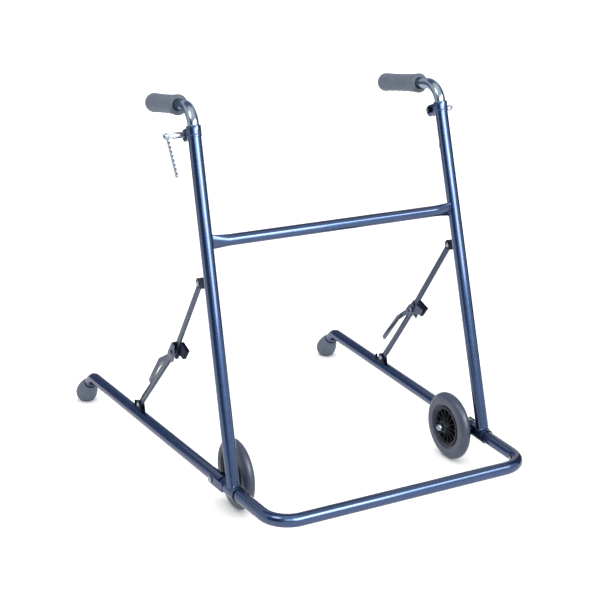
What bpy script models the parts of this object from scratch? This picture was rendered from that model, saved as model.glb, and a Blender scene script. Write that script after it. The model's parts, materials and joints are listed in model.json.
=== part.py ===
"""A folding walking frame with two front wheels, at its real size in metres.

+Z is up. The closed end of the base tube points to -Y and the two legs run to +Y.
The frame is symmetric about X = 0, and the origin is on the floor in the middle of its length.
Each piece is made for the right-hand side, +X, and the left-hand one is its mirror image.
"""

import math

import bmesh
import bpy
from mathutils import Matrix, Vector

# Fits
GAP = 0.0003  # between faces that touch, and round pieces that slide
LEG_CLEARANCE = 0.0006  # on each side of the leg, which folds between two cheeks that splay with it

# Frame tubes
TUBE_OD = 0.0270
TUBE_WALL = 0.0016
SPLAY = math.radians(2.8)  # legs and base tube open outwards towards the rear
HALF_TRACK = 0.3027  # X of the leg's axis at the axle
FRONT_RUN = 0.240  # axle to the front bar's axis
FRONT_BEND = 0.055
LEG_RUN = 0.652  # axle to the corner of the leg's foot, along Y
LEG_LEAD = 0.026  # how far the leg's front end reaches past the axle
FOOT_DROP = math.radians(51)  # the foot's slope below the horizontal
FOOT_BEND = 0.050
FOOT_LENGTH = 0.062  # corner to the tube's end, inside the ferrule

# Wheels
WHEEL_DIAMETER = 0.150
TYRE_SECTION = 0.0147  # half the tyre's height, rim to tread
TYRE_HALF_WIDTH = 0.0122
TYRE_SEAT = 0.0085  # half the width of the tyre's inner face
TYRE_GROOVE = 0.0032  # floor of the groove between tyre and rim, measured along a radius
TYRE_SQUARE = 0.08  # 1 is a round inner half, less is squarer
WHEEL_INSET = 0.0417  # leg axis to the middle of the wheel, towards the middle of the frame
RIM_LIP = 0.0052  # flat edge of the rim's ring, measured along a radius
RIM_SLOPE = 0.0045  # from the lip down to the web, measured the same way
RIM_WIDTH = 0.0236
RIM_WEB = 0.003
HUB_LENGTH = 0.036
HUB_RADIUS = 0.0145
RIB_COUNT = 14
RIB_THICKNESS = 0.0016
RIB_WIDTH = 0.018
AXLE_RADIUS = 0.005
BUSH_WALL = 0.0025
AXLE_HEAD_RADIUS = 0.0078
AXLE_HEAD = 0.0034
NUT_RADIUS = 0.0090
NUT_LENGTH = 0.0065
NUT_DOME = 0.0078

# Side brackets, which join base tube, upright and leg
SLEEVE_WALL = 0.0020
SLEEVE_LENGTH = 0.058
SLEEVE_LEAD = 0.018  # how far the sleeve reaches ahead of the upright
BASE_TUBE_END = 0.032  # axle to the base tube's open end
CHEEK_THICKNESS = 0.0022
CHEEK_HEIGHT = 0.0190
CHEEK_OVERLAP = 0.016  # length of cheek along the sleeve

# Uprights
UPRIGHT_LEAD = 0.074  # axle to the upright's foot, along Y
UPRIGHT_OFFSET = 0.0015  # foot of the upright, outside the base tube's axis
UPRIGHT_LEAN = math.radians(15.1)  # backwards
UPRIGHT_INSET = math.radians(1.128)  # inwards
COLLAR_ALONG = 0.7153  # foot to the middle of the clamp, along the upright
CROSSBAR_RISE = 0.479  # above the base tube's axis
CROSSBAR_OD = 0.0240
CROSSBAR_FLAT_HEIGHT = 0.029
CROSSBAR_FLAT_DEPTH = 0.0090
CROSSBAR_FLAT_RUN = 0.052  # length over which each end is pressed flat

# Handles
HANDLE_OD = 0.0232
HANDLE_WALL = 0.0015
HANDLE_INSERT = 0.290  # length of handle tube below the middle of the clamp
HANDLE_RISE = 0.0490  # middle of the clamp to the corner of the bend
HANDLE_BEND = 0.043
GRIP_SLOPE = math.radians(7.1)  # down to the rear
GRIP_TOE_IN = math.radians(1.4)
GRIP_START = 0.0681  # corner of the bend to the grip's front face
GRIP_LENGTH = 0.1458
GRIP_RADIUS = 0.0200
GRIP_FLANGE_RADIUS = 0.0210
GRIP_FLANGE = 0.005
GRIP_END_WALL = 0.006

# Clamps at the top of the uprights
COLLAR_HEIGHT = 0.022
COLLAR_WALL = 0.0009
EAR_THICKNESS = 0.0045
EAR_SLIT = 0.0030
EAR_RADIUS = 0.0125
EAR_REACH = 0.0365  # upright's axis to the middle of the ears' round end
EAR_DROP = 0.0050  # the same point below the middle of the collar
SCREW_REACH = 0.0340
SCREW_DROP = 0.0030
SCREW_RADIUS = 0.0035
CLAMP_NUT_RADIUS = 0.0070
CLAMP_NUT = 0.0055
ARM_START = 0.0040  # ear's outer face to the arm's flat bar
ARM_LENGTH = 0.0420
ARM_HEIGHT = 0.012
ARM_DEPTH = 0.006
ARM_SLOT = 0.0052
ARM_BOSS = 0.0060
PIN_RADIUS = 0.0023
PIN_HEAD_RADIUS = 0.0045
PIN_HEAD = 0.0015
ROD_RADIUS = 0.00325
ROD_EYE_RADIUS = 0.0056
ROD_EYE_DEPTH = 0.0040
ROD_LENGTH = 0.084
ROD_LEAN = {"right": 0.0, "left": math.radians(12.6)}  # towards the upright
PIN_AT_FAR_END = {"right": False, "left": True}

# Folding struts
STRUT_WIDTH = 0.014
STRUT_THICKNESS = 0.0045
STRUT_EYE_RADIUS = 0.0085
STRUT_INSET = 0.0057  # plane of the upper strut, inside the leg's axis at the axle
LOWER_PIVOT_INSET = 0.00266  # inside the leg's axis at that place
UPPER_PIVOT_RISE = 0.3925  # above the base tube's axis
UPPER_PIVOT_REACH = 0.0433  # behind the upright's axis
LOWER_PIVOT_RUN = 0.3775  # behind the axle
LOWER_PIVOT_RISE = 0.0258  # above the leg's axis
KNEE_SET = 0.0128  # how far the locked knee lies past the line between the strut's ends
STRUT_FLAT = 0.032  # straight stretch of the lower strut at each end, before it slants outwards
PIVOT_RADIUS = 0.0030
PIVOT_HEAD_RADIUS = 0.0055
PIVOT_HEAD = 0.0028
EAR_PLATE = 0.0030
EAR_PLAY = 0.0004
EAR_ROUND = 0.0108
BRACKET_PLAY = 0.0006  # between a strut's eye and the bottom of its bracket's slot
KNEE_PLATE = 0.0025
REST_RADIUS = 0.0030
REST_REACH = 0.0300  # rest stud behind the lower pivot
REST_RISE = 0.0248  # its top above the leg's axis

# Release lever, a rocker on the knee bolt
LEVER_WIDTH = 0.011
LEVER_THICKNESS = 0.0030
LEVER_SHIFT = 0.0110  # how far its handle lies outside its root
LEVER_PATH = ((0.006, 0.003), (0.028, 0.008), (0.080, 0.024), (0.171, 0.0225))  # along and off the lower strut
LEVER_SHIFT_FROM = 0.040
SPRING_RADIUS = 0.0070
SPRING_WIRE = 0.0007
SPRING_TURNS = 3
SPRING_LENGTH = 0.0060
# Outlines at the knee, along the upper strut and off it, away from the axle
ROCKER_PLATE = ((-0.024, 0.005), (0.000, 0.013), (0.016, 0.012), (0.023, -0.006), (0.010, -0.013), (-0.012, -0.009))
ROCKER_ARM = ((-0.004, -0.002), (-0.018, -0.011), (-0.037, -0.026), (-0.043, -0.036), (-0.029, -0.034), (0.004, -0.010))
TAB_OUTLINE = ((-0.0455, -0.0082), (-0.0553, -0.0395), (-0.0230, -0.0374), (-0.0140, -0.0170), (-0.0170, -0.0082))
GUSSET_OUTLINE = ((-0.024, 0.0105), (0.020, 0.0135), (0.017, -0.017), (-0.010, -0.012), (-0.024, -0.004))
STOP_OUTLINE = ((-0.0235, 0.0073), (-0.0235, 0.0098), (0.0095, 0.0126), (0.0095, 0.0101))
TAB_THICKNESS = 0.0085
TAB_PROUD = 0.0042  # how far the tab stands past the rocker, towards the upper strut

# Ferrules
FERRULE_MOUTH = 0.0296  # corner of the leg's foot to the ferrule's mouth
FERRULE_CENTRE = 0.0700  # corner of the leg's foot to the middle of the bulb
FERRULE_RADIUS = 0.0254
FERRULE_MOUTH_RADIUS = 0.0165

# Facets
TUBE_SIDES = 20
SMALL_SIDES = 16
PIN_SIDES = 12
WHEEL_SIDES = 36
BEND_STEPS = 6

# Places worked out from the sizes above. Y is first counted from the axle, and BASE_Y moves it to the frame's middle.
TUBE_RADIUS = TUBE_OD / 2
AXLE_HEIGHT = WHEEL_DIAMETER / 2
FOOT_CENTRE_Y = LEG_RUN + FERRULE_CENTRE * math.cos(FOOT_DROP)
BASE_Y = (FRONT_RUN + TUBE_RADIUS - FOOT_CENTRE_Y - FERRULE_RADIUS) / 2
X_AXIS = Vector((1, 0, 0))
LEG_DIRECTION = Vector((math.sin(SPLAY), math.cos(SPLAY), 0))
LEG_SIDE = Vector((math.cos(SPLAY), -math.sin(SPLAY), 0))
STRUT_X = HALF_TRACK - STRUT_INSET
LOWER_PIVOT_X = HALF_TRACK + LOWER_PIVOT_RUN * math.tan(SPLAY) - LOWER_PIVOT_INSET


def at(x, y, z):
    """A point given by its X, its distance behind the axle and its height."""
    return Vector((x, y + BASE_Y, z))


def on_leg_axis(y, rise=0.0):
    """A point on the line of the leg and the base tube, y behind the axle."""
    return at(HALF_TRACK + y * math.tan(SPLAY), y, AXLE_HEIGHT + rise)


AXLE = on_leg_axis(0)
UPRIGHT_FOOT = on_leg_axis(-UPRIGHT_LEAD) + Vector((UPRIGHT_OFFSET, 0, 0))
UPRIGHT_UP = Vector((-math.tan(UPRIGHT_INSET), math.tan(UPRIGHT_LEAN), 1)).normalized()
UPRIGHT_BACK = (Vector((0, 1, 0)) - UPRIGHT_UP * UPRIGHT_UP.y).normalized()
COLLAR = UPRIGHT_FOOT + UPRIGHT_UP * COLLAR_ALONG
GRIP_DIRECTION = Vector((-math.tan(GRIP_TOE_IN), 1, -math.tan(GRIP_SLOPE))).normalized()
HANDLE_CORNER = COLLAR + UPRIGHT_UP * HANDLE_RISE


def on_upright(rise):
    """The point of the upright's axis at a height above the base tube's axis."""
    return UPRIGHT_FOOT + UPRIGHT_UP * (rise / UPRIGHT_UP.z)


def in_strut_plane(point, x=STRUT_X):
    """The same point moved along X into a strut's plane."""
    return Vector((x, point.y, point.z))


UPPER_PIVOT = in_strut_plane(on_upright(UPPER_PIVOT_RISE) + Vector((0, UPPER_PIVOT_REACH, 0)))
LOWER_PIVOT = in_strut_plane(on_leg_axis(LOWER_PIVOT_RUN, LOWER_PIVOT_RISE), LOWER_PIVOT_X)
STAY = in_strut_plane(LOWER_PIVOT) - UPPER_PIVOT
KNEE = UPPER_PIVOT + STAY / 2 + X_AXIS.cross(STAY).normalized() * -KNEE_SET
UPPER_ALONG = (KNEE - UPPER_PIVOT).normalized()
UPPER_OUT = X_AXIS.cross(UPPER_ALONG)
LOWER_ALONG = (in_strut_plane(LOWER_PIVOT) - KNEE).normalized()
LOWER_OUT = X_AXIS.cross(LOWER_ALONG)

# The layers of the knee, from the middle of the frame outwards
UPPER_FACE_IN = STRUT_X - STRUT_THICKNESS / 2
UPPER_FACE_OUT = STRUT_X + STRUT_THICKNESS / 2
LOWER_FACE_IN = UPPER_FACE_OUT + GAP
LOWER_STRUT_X = LOWER_FACE_IN + STRUT_THICKNESS / 2
GUSSET_IN = LOWER_FACE_IN + STRUT_THICKNESS + GAP
GUSSET_OUT = GUSSET_IN + KNEE_PLATE
ROCKER_OUT = UPPER_FACE_IN - GAP
ROCKER_IN = ROCKER_OUT - LEVER_THICKNESS
SPRING_IN = ROCKER_IN - GAP - SPRING_LENGTH


def clear_scene():
    for obj in list(bpy.data.objects):
        bpy.data.objects.remove(obj)


def new_object(name, mesh):
    obj = bpy.data.objects.new(name, mesh)
    bpy.context.scene.collection.objects.link(obj)
    return obj


def solid(bm, name="shape"):
    """An object from a closed bmesh, with its faces turned outwards."""
    bmesh.ops.recalc_face_normals(bm, faces=bm.faces)
    mesh = bpy.data.meshes.new(name)
    bm.to_mesh(mesh)
    bm.free()
    return new_object(name, mesh)


def bake(obj):
    """Replaces the object's mesh by what its modifiers make of it."""
    graph = bpy.context.evaluated_depsgraph_get()
    mesh = bpy.data.meshes.new_from_object(obj.evaluated_get(graph))
    obj.modifiers.clear()
    obj.data = mesh


def combine(obj, others, operation):
    """Joins the others to the object, or cuts them out of it, and removes them."""
    for other in others:
        other.hide_render = True
        other.display_type = "WIRE"
        modifier = obj.modifiers.new(operation.title(), "BOOLEAN")
        modifier.operation = operation
        modifier.solver = "EXACT"
        modifier.object = other
    bake(obj)
    for other in others:
        bpy.data.objects.remove(other)
    return obj


def cut(obj, *cutters):
    return combine(obj, cutters, "DIFFERENCE")


def fuse(obj, *others):
    return combine(obj, others, "UNION")


def skin(rings, closed):
    """A solid through rings of points. It closes on itself, or ends in two flat caps."""
    bm = bmesh.new()
    loops = [[bm.verts.new(point) for point in ring] for ring in rings]
    pairs = list(zip(loops, loops[1:]))
    if closed:
        pairs.append((loops[-1], loops[0]))
    else:
        bm.faces.new(loops[0])
        bm.faces.new(loops[-1])
    for low, high in pairs:
        count = len(low)
        for i in range(count):
            j = (i + 1) % count
            bm.faces.new((low[i], low[j], high[j], high[i]))
    return solid(bm)


def circle(centre, across, up, radius, sides, squash=1.0):
    """Points of a circle, or of an ellipse whose second radius is radius times squash."""
    turns = [2 * math.pi * i / sides for i in range(sides)]
    return [centre + across * radius * math.cos(t) + up * radius * squash * math.sin(t) for t in turns]


def cross_axes(direction, sideways):
    """Two unit vectors square to the direction, the first as near to sideways as it can be."""
    up = direction.cross(sideways).normalized()
    return up.cross(direction).normalized(), up


def cylinder(start, end, radius, sides=SMALL_SIDES):
    direction = (end - start).normalized()
    sideways = X_AXIS if abs(direction.x) < 0.9 else Vector((0, 1, 0))
    across, up = cross_axes(direction, sideways)
    return skin([circle(point, across, up, radius, sides) for point in (start, end)], False)


def peg(centre, x0, x1, radius, sides=PIN_SIDES):
    """A cylinder along X, from x0 to x1."""
    return cylinder(in_strut_plane(centre, x0), in_strut_plane(centre, x1), radius, sides)


def turned(profile, start, direction, sides, sideways=X_AXIS):
    """A solid of revolution. The profile lists radius and distance along the axis, round a closed outline."""
    across, up = cross_axes(direction, sideways)
    bm = bmesh.new()
    loops = []
    for radius, along in profile:
        centre = start + direction * along
        points = circle(centre, across, up, radius, sides) if radius > 0 else [centre]
        loops.append([bm.verts.new(point) for point in points])
    for low, high in zip(loops, loops[1:] + loops[:1]):
        if len(low) == 1 and len(high) == 1:
            continue
        for i in range(sides):
            j = (i + 1) % sides
            corners = [low[i % len(low)], low[j % len(low)], high[j % len(high)], high[i % len(high)]]
            bm.faces.new(list(dict.fromkeys(corners)))
    return solid(bm)


def rounded_path(points, radius, steps=BEND_STEPS):
    """The points of a bent tube's axis, with an arc of the given radius at each inner corner."""
    path = [points[0]]
    for before, corner, after in zip(points, points[1:], points[2:]):
        into = (corner - before).normalized()
        out = (after - corner).normalized()
        turn = into.angle(out)
        start = corner - into * radius * math.tan(turn / 2)
        inwards = (out - into * out.dot(into)).normalized()
        for i in range(steps + 1):
            angle = turn * i / steps
            path.append(start + into * radius * math.sin(angle) + inwards * radius * (1 - math.cos(angle)))
    path.append(points[-1])
    return path


def tube(path, radius, wall, sides=TUBE_SIDES, sideways=X_AXIS):
    """A tube open at both ends. Its path lies in one plane, or nearly."""
    outer, inner = [], []
    for i, point in enumerate(path):
        into = (point - path[i - 1]).normalized() if i else None
        out = (path[i + 1] - point).normalized() if i + 1 < len(path) else None
        direction = (into + out).normalized() if into and out else (into or out)
        across, up = cross_axes(direction, sideways)
        outer.append(circle(point, across, up, radius, sides))
        inner.append(circle(point, across, up, radius - wall, sides))
    return skin(outer + inner[::-1], True)


def plate(outline, x0, x1):
    """A flat plate between two X values. The outline is a list of points in a plane square to X."""
    return skin([[in_strut_plane(point, x) for point in outline] for x in (x0, x1)], False)


def flat_bar(points, width, thickness):
    """A bar of oblong section along the points, with its thickness along X."""
    rings = []
    for i, point in enumerate(points):
        before = points[max(i - 1, 0)]
        after = points[min(i + 1, len(points) - 1)]
        run = after - before
        edge = X_AXIS.cross(Vector((0, run.y, run.z)).normalized()) * width / 2
        side = X_AXIS * thickness / 2
        rings.append([point - edge - side, point + edge - side, point + edge + side, point - edge + side])
    return skin(rings, False)


def at_knee(along, out):
    """A point beside the knee, measured along the upper strut and away from the axle."""
    return KNEE + UPPER_ALONG * along + UPPER_OUT * out


def box(centre, half_x, half_y, half_z, across=X_AXIS):
    """A block, with its first half size along the given level direction."""
    back = Vector((0, 0, 1)).cross(across)
    up = Vector((0, 0, 1))
    rings = []
    for side in (-1, 1):
        middle = centre + up * half_z * side
        signs = ((-1, -1), (1, -1), (1, 1), (-1, 1))
        rings.append([middle + across * half_x * u + back * half_y * v for u, v in signs])
    return skin(rings, False)


def make_front_tube():
    rear_right = on_leg_axis(-BASE_TUBE_END)
    corner_right = on_leg_axis(-FRONT_RUN)
    points = [rear_right, corner_right]
    points += [Vector((-point.x, point.y, point.z)) for point in (corner_right, rear_right)]
    return tube(rounded_path(points, FRONT_BEND), TUBE_RADIUS, TUBE_WALL, sideways=Vector((0, 0, 1)))


def make_crossbar():
    """A round tube pressed flat at both ends, where it meets the uprights."""
    middle = on_upright(CROSSBAR_RISE)
    half = middle.x
    flat = half - CROSSBAR_FLAT_RUN
    steps = 5
    places = [(flat + CROSSBAR_FLAT_RUN * i / steps, min(i / (steps - 1), 1)) for i in range(steps + 1)]
    places = [(-x, share) for x, share in places[::-1]] + places
    outer, inner = [], []
    for x, share in places:
        ease = share * share * (3 - 2 * share)
        height = CROSSBAR_OD + (CROSSBAR_FLAT_HEIGHT - CROSSBAR_OD) * ease
        depth = CROSSBAR_OD + (CROSSBAR_FLAT_DEPTH - CROSSBAR_OD) * ease
        centre = in_strut_plane(middle, x)
        for rings, wall in ((outer, 0.0), (inner, TUBE_WALL)):
            radius = depth / 2 - wall
            squash = (height / 2 - wall) / radius
            rings.append(circle(centre, Vector((0, 1, 0)), Vector((0, 0, 1)), radius, TUBE_SIDES, squash))
    bar = skin(outer + inner[::-1], True)
    for sign in (1, -1):
        low = on_upright(CROSSBAR_RISE - CROSSBAR_OD * 2)
        high = on_upright(CROSSBAR_RISE + CROSSBAR_OD * 2)
        low.x *= sign
        high.x *= sign
        cut(bar, cylinder(low, high, TUBE_RADIUS + GAP, TUBE_SIDES))
    return bar


def make_side_bracket():
    """A sleeve on the base tube's end, with two cheeks that hold the axle and the leg's front end."""
    bore = TUBE_RADIUS + GAP
    outside = bore + SLEEVE_WALL
    front = on_leg_axis(-UPRIGHT_LEAD - SLEEVE_LEAD)
    profile = [(bore, 0), (outside, 0), (outside, SLEEVE_LENGTH), (bore, SLEEVE_LENGTH)]
    bracket = turned(profile, front, LEG_DIRECTION, TUBE_SIDES, Vector((0, 0, 1)))
    sleeve_end = SLEEVE_LENGTH - UPRIGHT_LEAD - SLEEVE_LEAD
    cheek_start = sleeve_end - CHEEK_OVERLAP
    inner = TUBE_RADIUS + LEG_CLEARANCE
    cheeks = []
    for sign in (1, -1):
        faces = [LEG_SIDE * sign * (inner + CHEEK_THICKNESS * share) for share in (0, 1)]
        outline = [on_leg_axis(cheek_start, -CHEEK_HEIGHT / 2)]
        for i in range(9):
            angle = -math.pi / 2 + math.pi * i / 8
            reach = LEG_DIRECTION * CHEEK_HEIGHT / 2 * math.cos(angle)
            outline.append(AXLE + reach + Vector((0, 0, CHEEK_HEIGHT / 2 * math.sin(angle))))
        outline.append(on_leg_axis(cheek_start, CHEEK_HEIGHT / 2))
        cheeks.append(skin([[point + face for point in outline] for face in faces], False))
    fuse(bracket, *cheeks)
    reach = outside + CHEEK_THICKNESS * 2
    return cut(bracket, peg(AXLE, AXLE.x - reach, AXLE.x + reach, AXLE_RADIUS + GAP, SMALL_SIDES))


def make_upright():
    top = COLLAR + UPRIGHT_UP * (COLLAR_HEIGHT / 2 - 2 * GAP)
    upright = tube([UPRIGHT_FOOT, top], TUBE_RADIUS, TUBE_WALL)
    reach = TUBE_OD * 1.5
    sleeve = TUBE_RADIUS + GAP + SLEEVE_WALL + GAP
    cutter = cylinder(on_leg_axis(-UPRIGHT_LEAD - reach), on_leg_axis(-UPRIGHT_LEAD + reach), sleeve, TUBE_SIDES * 2)
    return cut(upright, cutter)


def ear_point(reach, drop):
    """A point in the plane between the clamp's ears."""
    return COLLAR + UPRIGHT_BACK * reach - UPRIGHT_UP * drop


EAR_ACROSS = UPRIGHT_BACK.cross(UPRIGHT_UP).normalized()
SCREW = ear_point(SCREW_REACH, SCREW_DROP)
EAR_FACE = EAR_SLIT / 2 + EAR_THICKNESS
ARM_IN = SCREW.x + EAR_FACE + ARM_START
ARM_OUT = ARM_IN + ARM_LENGTH
SLOT_IN = ARM_IN + ARM_BOSS + ARM_SLOT / 2
SLOT_OUT = ARM_OUT - ARM_HEIGHT / 2


def make_clamp_collar():
    """A split ring round the upright's top, with two ears that the clamp screw draws together."""
    bore = TUBE_RADIUS + GAP
    outside = bore + COLLAR_WALL
    start = COLLAR - UPRIGHT_UP * COLLAR_HEIGHT / 2
    profile = [(bore, 0), (outside, 0), (outside, COLLAR_HEIGHT), (bore, COLLAR_HEIGHT)]
    collar = turned(profile, start, UPRIGHT_UP, TUBE_SIDES)
    root = bore + COLLAR_WALL / 2
    outline = [ear_point(root, COLLAR_HEIGHT * 0.42), ear_point(root, -COLLAR_HEIGHT * 0.42)]
    for i in range(7):
        angle = math.radians(80) - math.radians(170) * i / 6
        reach = EAR_REACH + EAR_RADIUS * math.cos(angle)
        outline.append(ear_point(reach, EAR_DROP - EAR_RADIUS * math.sin(angle)))
    ears = []
    for sign in (1, -1):
        faces = [EAR_ACROSS * sign * (EAR_SLIT / 2 + EAR_THICKNESS * share) for share in (0, 1)]
        ears.append(skin([[point + face for point in outline] for face in faces], False))
    fuse(collar, *ears)
    slit_start = ear_point(0, 0)
    slit_end = ear_point(root + COLLAR_WALL * 2, 0)
    half = EAR_ACROSS * EAR_SLIT / 2
    tall = UPRIGHT_UP * COLLAR_HEIGHT
    ring = [slit_start - half - tall, slit_start + half - tall, slit_start + half + tall, slit_start - half + tall]
    slit = skin([ring, [point + slit_end - slit_start for point in ring]], False)
    screw_hole = peg(SCREW, SCREW.x - EAR_FACE * 2, SCREW.x + EAR_FACE * 2, SCREW_RADIUS + GAP)
    return cut(collar, slit, screw_hole)


def make_clamp_nut():
    outer = SCREW.x - EAR_FACE - GAP * 2
    nut = peg(SCREW, outer - CLAMP_NUT, outer, CLAMP_NUT_RADIUS, 6)
    return cut(nut, peg(SCREW, outer - CLAMP_NUT * 2, outer + CLAMP_NUT, SCREW_RADIUS + GAP))


def round_ended(centre, x0, x1, height):
    """The outline of a bar with round ends in the plane square to Y."""
    outline = []
    for x, start in ((x0, math.pi / 2), (x1, -math.pi / 2)):
        for i in range(7):
            angle = start + math.pi * i / 6
            outline.append(Vector((x + height / 2 * math.cos(angle), centre.y, centre.z + height / 2 * math.sin(angle))))
    return outline


def make_clamp_screw():
    """The clamp's screw, with a flat arm that has a long slot for the drop rod's pin."""
    half = Vector((0, ARM_DEPTH / 2, 0))
    middle = round_ended(SCREW, ARM_IN + ARM_HEIGHT / 2, ARM_OUT - ARM_HEIGHT / 2, ARM_HEIGHT)
    arm = skin([[point - half for point in middle], [point + half for point in middle]], False)
    slot = round_ended(SCREW, SLOT_IN, SLOT_OUT, ARM_SLOT)
    cutter = skin([[point - half * 2 for point in slot], [point + half * 2 for point in slot]], False)
    end = SCREW.x - EAR_FACE - GAP * 2 - CLAMP_NUT
    shaft = peg(SCREW, end, ARM_IN + ARM_BOSS / 2, SCREW_RADIUS)
    neck = peg(SCREW, SCREW.x + EAR_FACE + GAP * 2, ARM_IN + ARM_BOSS / 3, SCREW_RADIUS * 1.6)
    return cut(fuse(arm, neck, shaft), cutter)


def pin_place(side):
    return in_strut_plane(SCREW, SLOT_OUT if PIN_AT_FAR_END[side] else SLOT_IN)


def make_rod_pin(side):
    """A headed pin through the slot, with room for the rod's eye in front of the arm."""
    back = ARM_DEPTH / 2 + GAP
    front = -ARM_DEPTH / 2 - GAP - ROD_EYE_DEPTH - GAP
    profile = [(0, front - PIN_HEAD), (PIN_HEAD_RADIUS, front - PIN_HEAD), (PIN_HEAD_RADIUS, front)]
    profile += [(PIN_RADIUS, front), (PIN_RADIUS, back), (PIN_HEAD_RADIUS, back)]
    profile += [(PIN_HEAD_RADIUS, back + PIN_HEAD), (0, back + PIN_HEAD)]
    return turned(profile, pin_place(side), Vector((0, 1, 0)), PIN_SIDES)


def make_drop_rod(side):
    """A round bar with a flat eye, hanging on the pin in front of the arm."""
    pin = pin_place(side)
    middle = pin - Vector((0, ARM_DEPTH / 2 + GAP + ROD_EYE_DEPTH / 2, 0))
    lean = ROD_LEAN[side]
    down = Vector((-math.sin(lean), 0, -math.cos(lean)))
    half = Vector((0, ROD_EYE_DEPTH / 2, 0))
    eye = cylinder(middle - half, middle + half, ROD_EYE_RADIUS)
    axis = pin - Vector((0, ARM_DEPTH / 2 + GAP * 2 + ROD_RADIUS, 0))
    bar = cylinder(axis + down * (PIN_HEAD_RADIUS + GAP), axis + down * ROD_LENGTH, ROD_RADIUS, PIN_SIDES)
    fuse(eye, bar)
    return cut(eye, cylinder(middle - half * 3, middle + half * 3, PIN_RADIUS + GAP, PIN_SIDES))


def make_handle_tube():
    bottom = COLLAR - UPRIGHT_UP * HANDLE_INSERT
    end = HANDLE_CORNER + GRIP_DIRECTION * (GRIP_START + GRIP_LENGTH - GRIP_END_WALL - GAP * 2)
    path = rounded_path([bottom, HANDLE_CORNER, end], HANDLE_BEND)
    return tube(path, HANDLE_OD / 2, HANDLE_WALL, SMALL_SIDES)


def make_grip():
    bore = HANDLE_OD / 2 + GAP
    inner_end = GRIP_LENGTH - GRIP_END_WALL
    profile = [(0, inner_end), (bore, inner_end), (bore, 0), (GRIP_FLANGE_RADIUS - 0.001, 0)]
    profile += [(GRIP_FLANGE_RADIUS, 0.001), (GRIP_FLANGE_RADIUS, GRIP_FLANGE), (GRIP_RADIUS, GRIP_FLANGE + 0.003)]
    round_end = 0.010
    for i in range(5):
        angle = math.pi / 2 * i / 4
        radius = GRIP_RADIUS - round_end * (1 - math.cos(angle))
        profile.append((radius, GRIP_LENGTH - round_end * (1 - math.sin(angle))))
    profile.append((0, GRIP_LENGTH))
    return turned(profile, HANDLE_CORNER + GRIP_DIRECTION * GRIP_START, GRIP_DIRECTION, TUBE_SIDES)


def d_outline(pivot, root, half_root):
    """A bracket's ear: straight sides from its root, round about the pivot."""
    run = (in_strut_plane(pivot) - in_strut_plane(root)).normalized()
    edge = X_AXIS.cross(run)
    outline = [root - edge * half_root, root + edge * half_root]
    for i in range(9):
        angle = math.pi / 2 - math.pi * i / 8
        outline.append(pivot + run * EAR_ROUND * math.cos(angle) + edge * EAR_ROUND * math.sin(angle))
    return outline


def strut_bracket(pivot, root, half_root, tube_ends):
    """A block on a round tube, with a slot for a strut that swings between its two ears."""
    inner = STRUT_THICKNESS / 2 + EAR_PLAY
    outer = inner + EAR_PLATE
    run = (in_strut_plane(pivot, 0) - in_strut_plane(root, 0)).normalized()
    edge = X_AXIS.cross(run)
    bracket = plate(d_outline(pivot, root, half_root), pivot.x - outer, pivot.x + outer)
    bottom = pivot - run * (STRUT_EYE_RADIUS + BRACKET_PLAY)
    slot_outline = [bottom - edge * half_root * 2, bottom + edge * half_root * 2]
    slot_outline += [point + run * EAR_ROUND * 3 for point in slot_outline[::-1]]
    slot = plate(slot_outline, pivot.x - inner, pivot.x + inner)
    low, high = tube_ends
    saddle = cylinder(low, high, TUBE_RADIUS + GAP, TUBE_SIDES)
    hole = peg(pivot, pivot.x - outer * 2, pivot.x + outer * 2, PIVOT_RADIUS + GAP)
    return cut(bracket, slot, saddle, hole)


def make_upper_bracket():
    axis_point = on_upright(UPPER_PIVOT_RISE)
    back = Vector((0, UPRIGHT_BACK.y, UPRIGHT_BACK.z)).normalized()
    root = in_strut_plane(UPPER_PIVOT - back * (UPPER_PIVOT_REACH * back.y - TUBE_RADIUS * 0.8))
    span = UPRIGHT_UP * EAR_ROUND * 3
    return strut_bracket(UPPER_PIVOT, root, EAR_ROUND, (axis_point - span, axis_point + span))


def make_lower_bracket():
    """The leg's bracket, with a stud behind it on which the folded strut comes to rest."""
    root = LOWER_PIVOT - Vector((0, 0, LOWER_PIVOT_RISE - TUBE_RADIUS * 0.8))
    reach = EAR_ROUND * 5
    ends = (on_leg_axis(LOWER_PIVOT_RUN - reach), on_leg_axis(LOWER_PIVOT_RUN + reach))
    bracket = strut_bracket(LOWER_PIVOT, root, EAR_ROUND * 1.35, ends)
    stud = in_strut_plane(on_leg_axis(LOWER_PIVOT_RUN + REST_REACH), LOWER_PIVOT_X)
    tongue_top = TUBE_RADIUS + KNEE_PLATE
    middle = stud + Vector((0, -REST_REACH / 2, (tongue_top + TUBE_RADIUS * 0.6) / 2))
    tongue = box(middle, EAR_ROUND / 2, REST_REACH / 2 + REST_RADIUS, (tongue_top - TUBE_RADIUS * 0.6) / 2)
    cut(tongue, cylinder(*ends, TUBE_RADIUS + GAP, TUBE_SIDES))
    post = cylinder(stud + Vector((0, 0, TUBE_RADIUS + KNEE_PLATE / 2)), stud + Vector((0, 0, REST_RISE)), REST_RADIUS)
    return fuse(bracket, tongue, post)


def make_bracket_pin(pivot):
    """A headed rivet through a bracket's two ears."""
    face = STRUT_THICKNESS / 2 + EAR_PLAY + EAR_PLATE + GAP
    profile = [(0, -face - PIVOT_HEAD), (PIVOT_HEAD_RADIUS, -face - PIVOT_HEAD), (PIVOT_HEAD_RADIUS, -face)]
    profile += [(PIVOT_RADIUS, -face), (PIVOT_RADIUS, face), (PIVOT_HEAD_RADIUS, face)]
    profile += [(PIVOT_HEAD_RADIUS, face + PIVOT_HEAD), (0, face + PIVOT_HEAD)]
    return turned(profile, pivot, X_AXIS, PIN_SIDES, Vector((0, 1, 0)))


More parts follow.
